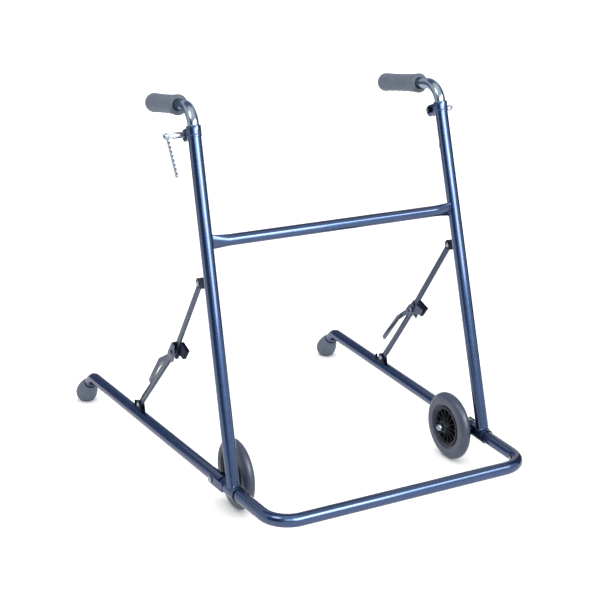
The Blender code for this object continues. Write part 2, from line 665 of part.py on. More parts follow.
def strut(points, x_start, x_end):
    """A flat bar with a round eye at each end and a hole in each eye."""
    bar = flat_bar(points, STRUT_WIDTH, STRUT_THICKNESS)
    half = STRUT_THICKNESS / 2
    ends = ((points[0], x_start), (points[-1], x_end))
    eyes = [peg(point, x - half, x + half, STRUT_EYE_RADIUS, SMALL_SIDES) for point, x in ends]
    fuse(bar, *eyes)
    holes = [peg(point, x - half * 2, x + half * 2, PIVOT_RADIUS + GAP) for point, x in ends]
    return cut(bar, *holes)


def make_upper_strut():
    return strut([UPPER_PIVOT, KNEE], STRUT_X, STRUT_X)


def make_lower_strut():
    """It starts outside the upper strut and slants out to the leg."""
    knee = in_strut_plane(KNEE, LOWER_STRUT_X)
    points = [knee, knee + LOWER_ALONG * STRUT_FLAT, LOWER_PIVOT - LOWER_ALONG * STRUT_FLAT, LOWER_PIVOT]
    return strut(points, LOWER_STRUT_X, LOWER_PIVOT_X)


def make_knee_gusset():
    """A plate on the lower strut, with a flange that stops the upper strut just past the straight line."""
    gusset = plate([at_knee(*point) for point in GUSSET_OUTLINE], GUSSET_IN, GUSSET_OUT)
    flange = plate([at_knee(*point) for point in STOP_OUTLINE], UPPER_FACE_IN, GUSSET_IN + KNEE_PLATE / 2)
    fuse(gusset, flange)
    return cut(gusset, peg(KNEE, GUSSET_IN - KNEE_PLATE, GUSSET_OUT + KNEE_PLATE, PIVOT_RADIUS + GAP))


def make_knee_bolt():
    """The outer half of the knee's pivot, on the lower strut: its shank and its head."""
    head = GUSSET_OUT + GAP
    profile = [(0, LOWER_FACE_IN), (PIVOT_RADIUS, LOWER_FACE_IN), (PIVOT_RADIUS, head)]
    profile += [(PIVOT_HEAD_RADIUS, head), (PIVOT_HEAD_RADIUS, head + PIVOT_HEAD), (0, head + PIVOT_HEAD)]
    return turned(profile, in_strut_plane(KNEE, 0), X_AXIS, PIN_SIDES, Vector((0, 1, 0)))


def make_knee_nut():
    """The inner half of the knee's pivot, on the upper strut: it also carries the rocker and its spring."""
    head = SPRING_IN - GAP
    profile = [(0, UPPER_FACE_OUT), (PIVOT_RADIUS, UPPER_FACE_OUT), (PIVOT_RADIUS, head)]
    profile += [(SPRING_RADIUS, head), (SPRING_RADIUS, head - PIVOT_HEAD), (0, head - PIVOT_HEAD)]
    return turned(profile, in_strut_plane(KNEE, 0), X_AXIS, PIN_SIDES, Vector((0, 1, 0)))


def make_release_lever():
    """A rocker on the knee bolt: a long handle beside the lower strut and a short arm for the thumb tab."""
    middle = (ROCKER_IN + ROCKER_OUT) / 2
    points = []
    for along, out in LEVER_PATH:
        points.append(in_strut_plane(KNEE, middle) + LOWER_ALONG * along + LOWER_OUT * out)
    shift = X_AXIS * LEVER_SHIFT
    share = (LEVER_SHIFT_FROM - LEVER_PATH[1][0]) / (LEVER_PATH[2][0] - LEVER_PATH[1][0])
    points[2:] = [points[1].lerp(points[2], share), points[2] + shift, points[3] + shift]
    lever = flat_bar(points, LEVER_WIDTH, LEVER_THICKNESS)
    half = LEVER_THICKNESS / 2
    tip = peg(points[-1], points[-1].x - half, points[-1].x + half, LEVER_WIDTH / 2, SMALL_SIDES)
    root = plate([at_knee(*point) for point in ROCKER_PLATE], ROCKER_IN, ROCKER_OUT)
    arm = plate([at_knee(*point) for point in ROCKER_ARM], ROCKER_IN, ROCKER_OUT)
    fuse(lever, root, arm, tip)
    return cut(lever, peg(KNEE, ROCKER_IN - half, ROCKER_OUT + half, PIVOT_RADIUS + GAP))


def grown(outline, amount):
    """The outline with each point moved away from its centre."""
    centre = Vector((sum(p[0] for p in outline), sum(p[1] for p in outline))) / len(outline)
    points = [Vector(point) for point in outline]
    return [tuple(point + (point - centre).normalized() * amount) for point in points]


def make_latch_tab():
    """A moulded thumb piece pressed over the rocker's short arm."""
    outer = ROCKER_OUT + TAB_PROUD
    tab = plate([at_knee(*point) for point in TAB_OUTLINE], outer - TAB_THICKNESS, outer)
    pocket_outline = [at_knee(*point) for point in grown(ROCKER_ARM, GAP * 3)]
    return cut(tab, plate(pocket_outline, ROCKER_IN - GAP, ROCKER_OUT + GAP))


def make_lever_spring():
    """The rocker's return spring, a coil round the knee's inner pivot."""
    steps = 12 * SPRING_TURNS
    coil = SPRING_RADIUS - SPRING_WIRE
    pitch = SPRING_LENGTH - 2 * SPRING_WIRE
    rings = []
    for i in range(steps + 1):
        turn = 2 * math.pi * i / 12
        radial = Vector((0, math.cos(turn), math.sin(turn)))
        centre = in_strut_plane(KNEE, SPRING_IN + SPRING_WIRE + pitch * i / steps) + radial * coil
        rings.append(circle(centre, X_AXIS, radial, SPRING_WIRE, 6))
    return skin(rings, False)


def make_leg_tube():
    front = on_leg_axis(-LEG_LEAD)
    corner = on_leg_axis(LEG_RUN)
    foot = LEG_DIRECTION * math.cos(FOOT_DROP) - Vector((0, 0, math.sin(FOOT_DROP)))
    path = rounded_path([front, corner, corner + foot * FOOT_LENGTH], FOOT_BEND)
    leg = tube(path, TUBE_RADIUS, TUBE_WALL, sideways=LEG_SIDE)
    return cut(leg, peg(AXLE, AXLE.x - TUBE_OD, AXLE.x + TUBE_OD, AXLE_RADIUS + GAP, SMALL_SIDES))


def make_ferrule():
    """A soft bulb on the leg's foot, worn flat where it stands on the floor."""
    corner = on_leg_axis(LEG_RUN)
    foot = LEG_DIRECTION * math.cos(FOOT_DROP) - Vector((0, 0, math.sin(FOOT_DROP)))
    bore = TUBE_RADIUS + GAP
    bore_end = FOOT_LENGTH + GAP * 2
    swell = FERRULE_CENTRE - FERRULE_MOUTH
    profile = [(0, bore_end), (bore, bore_end), (bore, FERRULE_MOUTH)]
    steps = 6
    for i in range(steps):
        share = i / steps
        radius = FERRULE_MOUTH_RADIUS + (FERRULE_RADIUS - FERRULE_MOUTH_RADIUS) * math.sin(share * math.pi / 2)
        profile.append((radius, FERRULE_MOUTH + swell * share))
    for i in range(steps):
        angle = math.pi / 2 * i / steps
        profile.append((FERRULE_RADIUS * math.cos(angle), FERRULE_CENTRE + FERRULE_RADIUS * math.sin(angle)))
    profile.append((0, FERRULE_CENTRE + FERRULE_RADIUS))
    ferrule = turned(profile, corner, foot, TUBE_SIDES, LEG_SIDE)
    centre = corner + foot * FERRULE_CENTRE
    centre.z = -FERRULE_RADIUS
    return cut(ferrule, box(centre, FERRULE_RADIUS * 2, FERRULE_RADIUS * 2, FERRULE_RADIUS))


WHEEL_X = AXLE.x - WHEEL_INSET
HUB_IN = WHEEL_X - HUB_LENGTH / 2
HUB_OUT = WHEEL_X + HUB_LENGTH / 2
BRACKET_HALF = (TUBE_RADIUS + LEG_CLEARANCE + CHEEK_THICKNESS) / math.cos(SPLAY) + CHEEK_HEIGHT / 2 * math.tan(SPLAY)
TYRE_SEAT_RADIUS = WHEEL_DIAMETER / 2 - 2 * TYRE_SECTION + GAP


def make_tyre():
    centre = WHEEL_DIAMETER / 2 - TYRE_SECTION
    groove = (TYRE_SEAT_RADIUS + TYRE_GROOVE, TYRE_SEAT)
    profile = [(TYRE_SEAT_RADIUS, -TYRE_SEAT), (groove[0], -groove[1])]
    for i in range(13):
        angle = math.radians(-135 + 270 * i / 12)
        side = math.sin(angle)
        if math.cos(angle) < 0:
            side = math.copysign(abs(side) ** TYRE_SQUARE, side)
        profile.append((centre + TYRE_SECTION * math.cos(angle), TYRE_HALF_WIDTH * side))
    profile += [groove, (TYRE_SEAT_RADIUS, TYRE_SEAT)]
    return turned(profile, in_strut_plane(AXLE, WHEEL_X), X_AXIS, WHEEL_SIDES, Vector((0, 1, 0)))


def make_wheel_rim():
    """A ring that slopes down to a thin web, and a hub, with ribs across the web."""
    ring_out = TYRE_SEAT_RADIUS - GAP
    lip = ring_out - RIM_LIP
    ring_in = lip - RIM_SLOPE
    bore = AXLE_RADIUS + GAP + BUSH_WALL + GAP
    half_ring, half_web, half_hub = RIM_WIDTH / 2, RIM_WEB / 2, HUB_LENGTH / 2
    profile = [(bore, -half_hub), (HUB_RADIUS, -half_hub), (HUB_RADIUS, -half_web), (ring_in, -half_web)]
    profile += [(lip, -half_ring), (ring_out, -half_ring), (ring_out, half_ring), (lip, half_ring)]
    profile += [(ring_in, half_web), (HUB_RADIUS, half_web), (HUB_RADIUS, half_hub), (bore, half_hub)]
    centre = in_strut_plane(AXLE, WHEEL_X)
    rim = turned(profile, centre, X_AXIS, WHEEL_SIDES, Vector((0, 1, 0)))
    bm = bmesh.new()
    start = HUB_RADIUS * 0.9
    length = lip - start
    for i in range(RIB_COUNT):
        turn = Matrix.Rotation(2 * math.pi * i / RIB_COUNT, 4, "X")
        place = Matrix.Translation(centre) @ turn @ Matrix.Translation((0, start + length / 2, 0))
        size = Matrix.Diagonal((RIB_WIDTH, length, RIB_THICKNESS, 1))
        bmesh.ops.create_cube(bm, size=1, matrix=place @ size)
    return fuse(rim, solid(bm))


def make_hub_bush():
    bore = AXLE_RADIUS + GAP
    outside = bore + BUSH_WALL
    half = HUB_LENGTH / 2 - GAP
    profile = [(bore, -half), (outside, -half), (outside, half), (bore, half)]
    return turned(profile, in_strut_plane(AXLE, WHEEL_X), X_AXIS, SMALL_SIDES, Vector((0, 1, 0)))


def make_axle_bolt():
    """The wheel's axle, which is also the leg's hinge pin."""
    head = AXLE.x + BRACKET_HALF + GAP
    end = HUB_IN - NUT_LENGTH
    profile = [(0, head + AXLE_HEAD), (AXLE_HEAD_RADIUS, head + AXLE_HEAD), (AXLE_HEAD_RADIUS, head)]
    profile += [(AXLE_RADIUS, head), (AXLE_RADIUS, end), (0, end)]
    return turned(profile, in_strut_plane(AXLE, 0), X_AXIS, SMALL_SIDES, Vector((0, 1, 0)))


def make_axle_nut():
    """A dome nut on the axle's inner end."""
    face = HUB_IN - GAP * 2
    flat_end = face - NUT_LENGTH
    nut = peg(AXLE, flat_end, face, NUT_RADIUS, 6)
    dome = [(0, flat_end + NUT_LENGTH / 2)]
    for i in range(5):
        angle = math.pi / 2 * i / 4
        dome.append((NUT_DOME * math.cos(angle), flat_end + GAP - NUT_DOME * math.sin(angle) * 0.9))
    dome[-1] = (0, dome[-1][1])
    dome.insert(1, (NUT_DOME, flat_end + NUT_LENGTH / 2))
    cap = turned(dome, in_strut_plane(AXLE, 0), X_AXIS, SMALL_SIDES, Vector((0, 1, 0)))
    bore = peg(AXLE, HUB_IN - NUT_LENGTH - GAP, face + NUT_LENGTH, AXLE_RADIUS + GAP, SMALL_SIDES)
    return cut(fuse(nut, cap), bore)


def make_axle_spacer():
    bore = AXLE_RADIUS + GAP
    low = HUB_OUT + GAP
    high = AXLE.x - BRACKET_HALF - GAP
    profile = [(bore, low), (bore + BUSH_WALL, low), (bore + BUSH_WALL, high), (bore, high)]
    return turned(profile, in_strut_plane(AXLE, 0), X_AXIS, SMALL_SIDES, Vector((0, 1, 0)))


def linear(value):
    """One channel of an sRGB colour, as the linear value that the shader takes."""
    return value / 12.92 if value <= 0.04045 else ((value + 0.055) / 1.055) ** 2.4


def finish(name, hex_colour, roughness, metallic=0.0):
    material = bpy.data.materials.new(name)
    material.use_nodes = True
    shader = material.node_tree.nodes["Principled BSDF"]
    channels = [linear(int(hex_colour[i : i + 2], 16) / 255) for i in (0, 2, 4)]
    shader.inputs["Base Color"].default_value = (*channels, 1)
    shader.inputs["Roughness"].default_value = roughness
    shader.inputs["Metallic"].default_value = metallic
    return material


def mirrored(point, sign):
    return Vector((point.x * sign, point.y, point.z))


class Body:
    """An empty on a joint's axis that carries the pieces moving together."""

    def __init__(self, name, pivot, parent=None):
        self.pivot = pivot
        self.empty = bpy.data.objects.new(name, None)
        bpy.context.scene.collection.objects.link(self.empty)
        self.empty.empty_display_size = TUBE_OD
        self.empty.parent = parent.empty if parent else None
        self.empty.location = pivot - parent.pivot if parent else pivot


def attach(shape, name, body, material, sign=1):
    """Gives a shape its name and finish and hangs it, or its mirror image, on a body."""
    pivot = mirrored(body.pivot, sign)
    shape.data.transform(Matrix.Translation(-pivot))
    shape.name = name
    shape.data.name = name
    shape.data.materials.clear()
    shape.data.materials.append(material)
    shape.data.shade_smooth()
    shape.data.set_sharp_from_angle(angle=math.radians(32))
    shape.parent = body.empty
    shape.scale = (sign, 1, 1)
    return shape


def build_side(side, sign, frame, finishes):
    """All pieces of one side, made for the right and mirrored for the left."""
    paint, black, chrome, zinc, rubber, tyre_grey, strut_paint, spring_steel = finishes

    def body(name, pivot, parent):
        return Body(f"{name}_{side}", mirrored(pivot, sign), parent)

    leg = body("leg", AXLE, frame)
    wheel = body("wheel", in_strut_plane(AXLE, WHEEL_X), frame)
    upper = body("upper_strut_pivot", UPPER_PIVOT, frame)
    lower = body("lower_strut_pivot", LOWER_PIVOT, leg)
    release = body("release", KNEE, upper)
    handle = body("handle", COLLAR, frame)
    clamp = body("clamp", SCREW, frame)
    pin = body("rod_slider", pin_place(side), clamp)
    rod = body("rod", pin_place(side), pin)
    pieces = (
        ("side_bracket", make_side_bracket(), frame, paint),
        ("upright", make_upright(), frame, paint),
        ("clamp_collar", make_clamp_collar(), frame, paint),
        ("clamp_nut", make_clamp_nut(), frame, zinc),
        ("upper_strut_bracket", make_upper_bracket(), frame, black),
        ("upper_strut_pin", make_bracket_pin(UPPER_PIVOT), frame, zinc),
        ("axle_bolt", make_axle_bolt(), frame, zinc),
        ("axle_nut", make_axle_nut(), frame, zinc),
        ("axle_spacer", make_axle_spacer(), frame, zinc),
        ("leg_tube", make_leg_tube(), leg, paint),
        ("ferrule", make_ferrule(), leg, rubber),
        ("lower_strut_bracket", make_lower_bracket(), leg, black),
        ("lower_strut_pin", make_bracket_pin(LOWER_PIVOT), leg, zinc),
        ("tyre", make_tyre(), wheel, tyre_grey),
        ("wheel_rim", make_wheel_rim(), wheel, black),
        ("hub_bush", make_hub_bush(), wheel, zinc),
        ("upper_strut", make_upper_strut(), upper, strut_paint),
        ("knee_nut", make_knee_nut(), upper, zinc),
        ("lower_strut", make_lower_strut(), lower, strut_paint),
        ("knee_gusset", make_knee_gusset(), lower, strut_paint),
        ("knee_bolt", make_knee_bolt(), lower, zinc),
        ("release_lever", make_release_lever(), release, strut_paint),
        ("latch_tab", make_latch_tab(), release, black),
        ("lever_spring", make_lever_spring(), upper, spring_steel),
        ("handle_tube", make_handle_tube(), handle, chrome),
        ("grip", make_grip(), handle, rubber),
        ("clamp_screw", make_clamp_screw(), clamp, zinc),
        ("rod_pin", make_rod_pin(side), pin, zinc),
        ("drop_rod", make_drop_rod(side), rod, zinc),
    )
    for name, shape, owner, material in pieces:
        attach(shape, f"{name}_{side}", owner, material, sign)


def main():
    clear_scene()
    finishes = (
        finish("blue_lacquer", "34476f", 0.32, 0.5),
        finish("black_moulding", "15181d", 0.55),
        finish("chrome", "c8ccd2", 0.12, 1.0),
        finish("zinc_plate", "9aa0a8", 0.35, 1.0),
        finish("grey_rubber", "6b7080", 0.65),
        finish("grey_tyre", "585a66", 0.55),
        finish("strut_lacquer", "535d6e", 0.40, 0.4),
        finish("spring_steel", "7c8087", 0.35, 1.0),
    )
    frame = Body("frame", Vector((0, 0, 0)))
    attach(make_front_tube(), "front_tube", frame, finishes[0])
    attach(make_crossbar(), "crossbar", frame, finishes[0])
    for side, sign in (("right", 1), ("left", -1)):
        build_side(side, sign, frame, finishes)


main()
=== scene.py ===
"""The look of a folding walking frame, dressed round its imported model.

Pieces are made for the right-hand side, +X, and copied as mirror images for the left one.
All places and sizes are in metres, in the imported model's own frame.
"""

import json
import math

import bpy
from bpy.props import FloatProperty, FloatVectorProperty, IntProperty, PointerProperty
from mathutils import Matrix, Vector


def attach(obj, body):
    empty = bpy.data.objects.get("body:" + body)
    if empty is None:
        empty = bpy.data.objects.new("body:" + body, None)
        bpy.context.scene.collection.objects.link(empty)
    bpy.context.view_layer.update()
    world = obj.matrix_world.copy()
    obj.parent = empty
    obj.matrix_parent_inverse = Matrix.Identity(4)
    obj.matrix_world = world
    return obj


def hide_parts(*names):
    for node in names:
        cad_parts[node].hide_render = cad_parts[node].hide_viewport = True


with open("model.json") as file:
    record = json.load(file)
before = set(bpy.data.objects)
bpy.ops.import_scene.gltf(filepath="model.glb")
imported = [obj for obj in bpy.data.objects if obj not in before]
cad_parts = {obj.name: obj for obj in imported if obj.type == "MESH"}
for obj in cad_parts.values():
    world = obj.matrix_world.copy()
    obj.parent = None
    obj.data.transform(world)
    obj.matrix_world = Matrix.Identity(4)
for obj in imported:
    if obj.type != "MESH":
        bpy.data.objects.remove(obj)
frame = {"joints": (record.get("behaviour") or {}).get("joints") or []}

bl_info = {
    "name": "Walking frame",
    "version": (1, 0, 0),
    "blender": (4, 5, 0),
    "location": "3D View > Sidebar > Walker",
    "description": "Models the pieces of a folding walking frame and gives them their finishes",
    "category": "Add Mesh",
}

# Fits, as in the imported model
GAP = 0.0003
LEG_CLEARANCE = 0.0006

# The frame's lines
SPLAY = math.radians(2.8)
FRONT_RUN = 0.240
FRONT_BEND = 0.055
LEG_RUN = 0.652
LEG_LEAD = 0.026
FOOT_DROP = math.radians(51)
FOOT_BEND = 0.050
FOOT_LENGTH = 0.062
BASE_TUBE_END = 0.032
UPRIGHT_LEAD = 0.074
UPRIGHT_OFFSET = 0.0015
COLLAR_ALONG = 0.7153
CROSSBAR_RISE = 0.479
UPPER_PIVOT_RISE = 0.3925
UPPER_PIVOT_REACH = 0.0433
LOWER_PIVOT_RUN = 0.3775
LOWER_PIVOT_RISE = 0.0258

# Handles
HANDLE_RADIUS = 0.0116
HANDLE_WALL = 0.0015
HANDLE_INSERT = 0.290
HANDLE_RISE = 0.0490
HANDLE_BEND = 0.043
GRIP_SLOPE = math.radians(7.1)
GRIP_TOE_IN = math.radians(1.4)
GRIP_START = 0.0681
GRIP_END_WALL = 0.006

X_AXIS = Vector((1, 0, 0))
Y_AXIS = Vector((0, 1, 0))
Z_AXIS = Vector((0, 0, 1))
MERGE = 2e-6
SEED = 0.01
SMOOTH_ANGLE = math.radians(32)
BEVEL_ANGLE = math.radians(40)
STRAIGHT_ANGLE = math.radians(155)  # a corner that is flatter keeps its shape
CORNER_SHARE = 0.45  # the most of an edge that a rounded corner takes
QUARTER_TURN = math.pi / 2
FULL_TURN = 2 * math.pi
BEND_STEPS = 24
PIN_SIDES = 32
HEAD_SIDES = 40
CUTTER_SIDES = 64
SQUARE = ((-1, -1), (1, -1), (1, 1), (-1, 1))


def joint(name):
    return next(j for j in frame["joints"] if j["name"] == name)


def pivot(name):
    return Vector(joint(name)["pos_m"])


AXLE = pivot("leg_fold_right")
UPPER_PIVOT = pivot("upper_strut_swing_right")
LOWER_PIVOT = pivot("lower_strut_swing_right")
KNEE = pivot("release_press_right")
SCREW = pivot("clamp_turn_right")
UPRIGHT_UP = Vector(joint("handle_height_right")["axis"]).normalized()
UPRIGHT_BACK = (Y_AXIS - UPRIGHT_UP * UPRIGHT_UP.y).normalized()
LEG_DIRECTION = Vector((math.sin(SPLAY), math.cos(SPLAY), 0))
LEG_SIDE = Vector((math.cos(SPLAY), -math.sin(SPLAY), 0))
FOOT_DIRECTION = LEG_DIRECTION * math.cos(FOOT_DROP) - Z_AXIS * math.sin(FOOT_DROP)


def on_leg(run, rise=0.0):
    """A point on the line of the leg and the base tube, run behind the axle."""
    return AXLE + Vector((run * math.tan(SPLAY), run, rise))


UPRIGHT_FOOT = on_leg(-UPRIGHT_LEAD) + X_AXIS * UPRIGHT_OFFSET
COLLAR = UPRIGHT_FOOT + UPRIGHT_UP * COLLAR_ALONG
HANDLE_CORNER = COLLAR + UPRIGHT_UP * HANDLE_RISE
GRIP_DIRECTION = Vector((-math.tan(GRIP_TOE_IN), 1, -math.tan(GRIP_SLOPE))).normalized()


def in_plane(point, x):
    return Vector((x, point.y, point.z))


def on_upright(rise):
    """The point of the upright's axis at a height above the base tube's axis."""
    return UPRIGHT_FOOT + UPRIGHT_UP * (rise / UPRIGHT_UP.z)


UPPER_ALONG = (KNEE - UPPER_PIVOT).normalized()
UPPER_OUT = X_AXIS.cross(UPPER_ALONG)
LOWER_RUN = in_plane(LOWER_PIVOT, KNEE.x) - KNEE
LOWER_ALONG = LOWER_RUN.normalized()
LOWER_OUT = X_AXIS.cross(LOWER_ALONG)


def at_knee(along, out):
    """A point beside the knee, measured along the upper strut and off it."""
    return KNEE + UPPER_ALONG * along + UPPER_OUT * out


# ---- outlines, as pairs ----


def arc(start, end, steps, radius=1.0):
    """Places on an arc from one angle to another."""
    angles = [start + (end - start) * i / steps for i in range(steps + 1)]
    return [(radius * math.cos(angle), radius * math.sin(angle)) for angle in angles]


def flipped(profile):
    """The other half of an even profile, taken on from its end."""
    return [(radius, -along) for radius, along in profile[::-1]]


def bush(inside, outside, low, high):
    """The profile of a plain bush, washer or nut."""
    return [(inside, low), (outside, low), (outside, high), (inside, high)]


def laid(origin, along, across, pairs):
    """The points of pairs that are measured along and across."""
    return [origin + along * pair[0] + across * pair[1] for pair in pairs]


def share_between(value, low, high):
    """0 up to low, 1 from high, and even between them."""
    return min(max((value - low) / (high - low), 0), 1)


# ---- drawing by hand ----


def only(piece):
    bpy.ops.object.select_all(action="DESELECT")
    piece.select_set(True)
    bpy.context.view_layer.objects.active = piece
    return piece


def open_edit():
    bpy.ops.object.mode_set(mode="EDIT")
    bpy.ops.mesh.select_all(action="SELECT")


def extrude(step):
    bpy.ops.mesh.extrude_region_move(TRANSFORM_OT_translate={"value": step})


def settled(add, **settings):
    """Adds a primitive on its own and applies its place."""
    bpy.ops.object.select_all(action="DESELECT")
    add(**settings)
    bpy.ops.object.transform_apply(location=True, rotation=True, scale=True)


def facing(direction):
    return direction.to_track_quat("Z", "Y").to_euler()


def ring(centre, direction, radius, sides):
    """Adds a circle square to the direction and opens it, all selected."""
    circle = {"vertices": sides, "radius": radius, "fill_type": "NOTHING"}
    settled(bpy.ops.mesh.primitive_circle_add, location=centre, rotation=facing(direction), **circle)
    open_edit()


def chain(points):
    """Draws a line of edges through the points and leaves it open, all selected."""
    settled(bpy.ops.mesh.primitive_plane_add, size=SEED, location=points[0])
    open_edit()
    bpy.ops.mesh.merge(type="CENTER")
    for here, there in zip(points, points[1:]):
        extrude(there - here)
    bpy.ops.mesh.select_all(action="SELECT")


def close_edit(fill=False):
    """Merges doubles, closes holes if asked, turns the faces outwards and leaves edit mode."""
    bpy.ops.mesh.select_all(action="SELECT")
    bpy.ops.mesh.remove_doubles(threshold=MERGE)
    if fill:
        bpy.ops.mesh.fill_holes(sides=0)
    bpy.ops.mesh.normals_make_consistent(inside=False)
    bpy.ops.object.mode_set(mode="OBJECT")
    return bpy.context.object


def modify(piece, kind, **settings):
    """Adds a modifier with its settings and applies it."""
    only(piece)
    bpy.ops.object.modifier_add(type=kind)
    modifier = piece.modifiers[-1]
    for key, value in settings.items():
        setattr(modifier, key, value)
    bpy.ops.object.modifier_apply(modifier=modifier.name)
    return piece


def boolean(piece, operation, others):
    for other in others:
        modify(piece, "BOOLEAN", operation=operation, solver="EXACT", object=other)
        bpy.data.objects.remove(other)
    return piece


def cut(piece, *cutters):
    return boolean(piece, "DIFFERENCE", cutters)


def fuse(piece, *others):
    return boolean(piece, "UNION", others)


def joined(piece, *others):
    only(piece)
    for other in others:
        other.select_set(True)
    bpy.ops.object.join()
    return piece


def bevelled(piece, width, segments=3):
    return modify(piece, "BEVEL", width=width, segments=segments, limit_method="ANGLE", angle_limit=BEVEL_ANGLE)


def softened(points, amount, closed=True, steps=3):
    """The outline with an arc in place of each sharp corner."""
    points = [Vector(point) for point in points]
    count = len(points)
    made = []
    for i, corner in enumerate(points):
        if not closed and i in (0, count - 1):
            made.append(corner)
            continue
        before = points[i - 1] - corner
        after = points[(i + 1) % count] - corner
        if before.angle(after) > STRAIGHT_ANGLE:
            made.append(corner)
            continue
        start = before.normalized() * min(amount, before.length * CORNER_SHARE)
        end = after.normalized() * min(amount, after.length * CORNER_SHARE)
        for step in range(steps + 1):
            share = step / steps
            made.append(corner + start * (1 - share) ** 2 + end * share**2)
    return made


def turned(profile, start, direction, sides, edge=0.0005):
    """Spins a profile of radius and distance along the axis.

    It is open where it runs from pole to pole, and closed otherwise.
    """
    closed = profile[0][0] > 0
    outline = softened(profile, edge, closed)
    side = direction.orthogonal().normalized()
    points = [start + direction * point[1] + side * point[0] for point in outline]
    chain(points + points[:1] if closed else points)
    bpy.ops.mesh.spin(steps=sides, angle=FULL_TURN, center=start, axis=direction)
    return close_edit()


def plate(outline, depth, edge=0):
    """Fills an outline, extrudes it by the vector depth and rounds its edges."""
    chain(outline)
    bpy.ops.mesh.edge_face_add()
    extrude(depth)
    piece = close_edit()
    return bevelled(piece, edge) if edge else piece


def rod(start, end, radius, sides=CUTTER_SIDES):
    """A plain round cutter."""
    ring(start, (end - start).normalized(), radius, sides)
    bpy.ops.mesh.edge_face_add()
    extrude(end - start)
    return close_edit()


def bent_tube(points, bend, radius, wall, sides):
    """Draws a circle along the points, spun round each corner, and gives it a wall."""
    ring(points[0], (points[1] - points[0]).normalized(), radius, sides)
    here = points[0]
    for before, corner, after in zip(points, points[1:], points[2:]):
        into = (corner - before).normalized()
        out = (after - corner).normalized()
        turn = into.angle(out)
        cutback = bend * math.tan(turn / 2)
        start = corner - into * cutback
        extrude(start - here)
        axis = into.cross(out).normalized()
        middle = start + axis.cross(into) * bend
        bpy.ops.mesh.spin(steps=BEND_STEPS, angle=turn, center=middle, axis=-axis)
        here = corner + out * cutback
    extrude(points[-1] - here)
    piece = close_edit()
    return modify(piece, "SOLIDIFY", thickness=wall, offset=-1, use_even_offset=True)


def wire(points, radius, closed=False, swell=()):
    """A round wire along the points. Swell gives shares of the radius, taken in turn."""
    chain(points + points[:1] if closed else points)
    bpy.ops.mesh.remove_doubles(threshold=MERGE)
    bpy.ops.object.mode_set(mode="OBJECT")
    bpy.ops.object.convert(target="CURVE")
    curve = bpy.context.object.data
    curve.bevel_depth = radius
    curve.bevel_resolution = 3
    curve.use_fill_caps = not closed
    for i, point in enumerate(curve.splines[0].points if swell else ()):
        point.radius = swell[i % len(swell)]
    bpy.ops.object.convert(target="MESH")
    open_edit()
    return close_edit()


def mirrored(piece):
    only(piece)
    bpy.ops.object.duplicate()
    twin = bpy.context.object
    twin.scale.x = -1
    bpy.ops.object.transform_apply(location=False, rotation=False, scale=True)
    open_edit()
    bpy.ops.mesh.flip_normals()
    bpy.ops.object.mode_set(mode="OBJECT")
    return twin


def dress(piece, name, body, finish, *nodes):
    """Gives a piece its name and finish, lets it ride on its body and stand for its nodes."""
    only(piece)
    bpy.ops.object.shade_smooth_by_angle(angle=SMOOTH_ANGLE)
    piece.name = name
    piece.data.name = name
    piece.data.materials.clear()
    piece.data.materials.append(bpy.data.materials[finish])
    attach(piece, body)
    if nodes:
        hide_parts(*nodes)


def dress_pair(piece, node, body, finish, stands=True):
    """Dresses a right-hand piece and its mirror image."""
    for side, half in (("left", mirrored(piece)), ("right", piece)):
        owner = body if body == "frame" else f"{body}_{side}"
        nodes = [f"{node}_{side}"] if stands else []
        dress(half, f"walker_{node}_{side}", owner, finish, *nodes)


def onto_cylinder(start, direction, foot, axis, radius, far=False):
    """Where a line from start meets a round tube."""
    across = direction - axis * direction.dot(axis)
    offset = start - foot
    offset = offset - axis * offset.dot(axis)
    a, b, c = across.dot(across), across.dot(offset), offset.dot(offset) - radius**2
    root = math.sqrt(max(b * b - a * c, 0))
    return start + direction * ((-b + root if far else -b - root) / a)


# ---- finishes ----


def linear(hex_colour):
    """An sRGB hex colour as the linear values that a shader takes."""
    channels = [int(hex_colour[i : i + 2], 16) / 255 for i in (0, 2, 4)]
    return [c / 12.92 if c <= 0.04045 else ((c + 0.055) / 1.055) ** 2.4 for c in channels]


def node(tree, kind, inputs=None, **settings):
    """Adds a node with its settings, and sets or links its inputs."""
    made = tree.nodes.new(kind)
    for key, value in settings.items():
        setattr(made, key, value)
    for key, value in (inputs or {}).items():
        if isinstance(value, bpy.types.NodeSocket):
            tree.links.new(value, made.inputs[key])
        else:
            made.inputs[key].default_value = value
    return made


def shades(tree, factor, *stops):
    """A colour ramp from pairs of place and grey level or colour."""
    ramp = node(tree, "ShaderNodeValToRGB", {"Fac": factor})
    elements = ramp.color_ramp.elements
    while len(elements) < len(stops):
        elements.new(0.5)
    for element, (place, shade) in zip(elements, stops):
        element.position = place
        element.color = (*([shade] * 3 if isinstance(shade, (int, float)) else shade), 1)
    return ramp.outputs["Color"]


def speckle(tree, size_mm, detail=2.0):
    """Noise on the piece's own coordinates, with features of a real size."""
    place = node(tree, "ShaderNodeTexCoord").outputs["Object"]
    made = node(tree, "ShaderNodeTexNoise", {"Vector": place, "Scale": 1000 / size_mm, "Detail": detail})
    return made.outputs["Fac"]


def blank(name):
    """A new material, its node tree and its shader."""
    material = bpy.data.materials.new(name)
    material.use_nodes = True
    return material, material.node_tree, material.node_tree.nodes["Principled BSDF"]


MOTTLE_ENDS = (0.35, 0.65)  # the noise's values at the darkest and the lightest colour
SMEAR_ENDS = (0.3, 0.7)  # and at the smoothest and the roughest places
SMEAR_SIZE = 0.4  # a smear's size against the mottle's


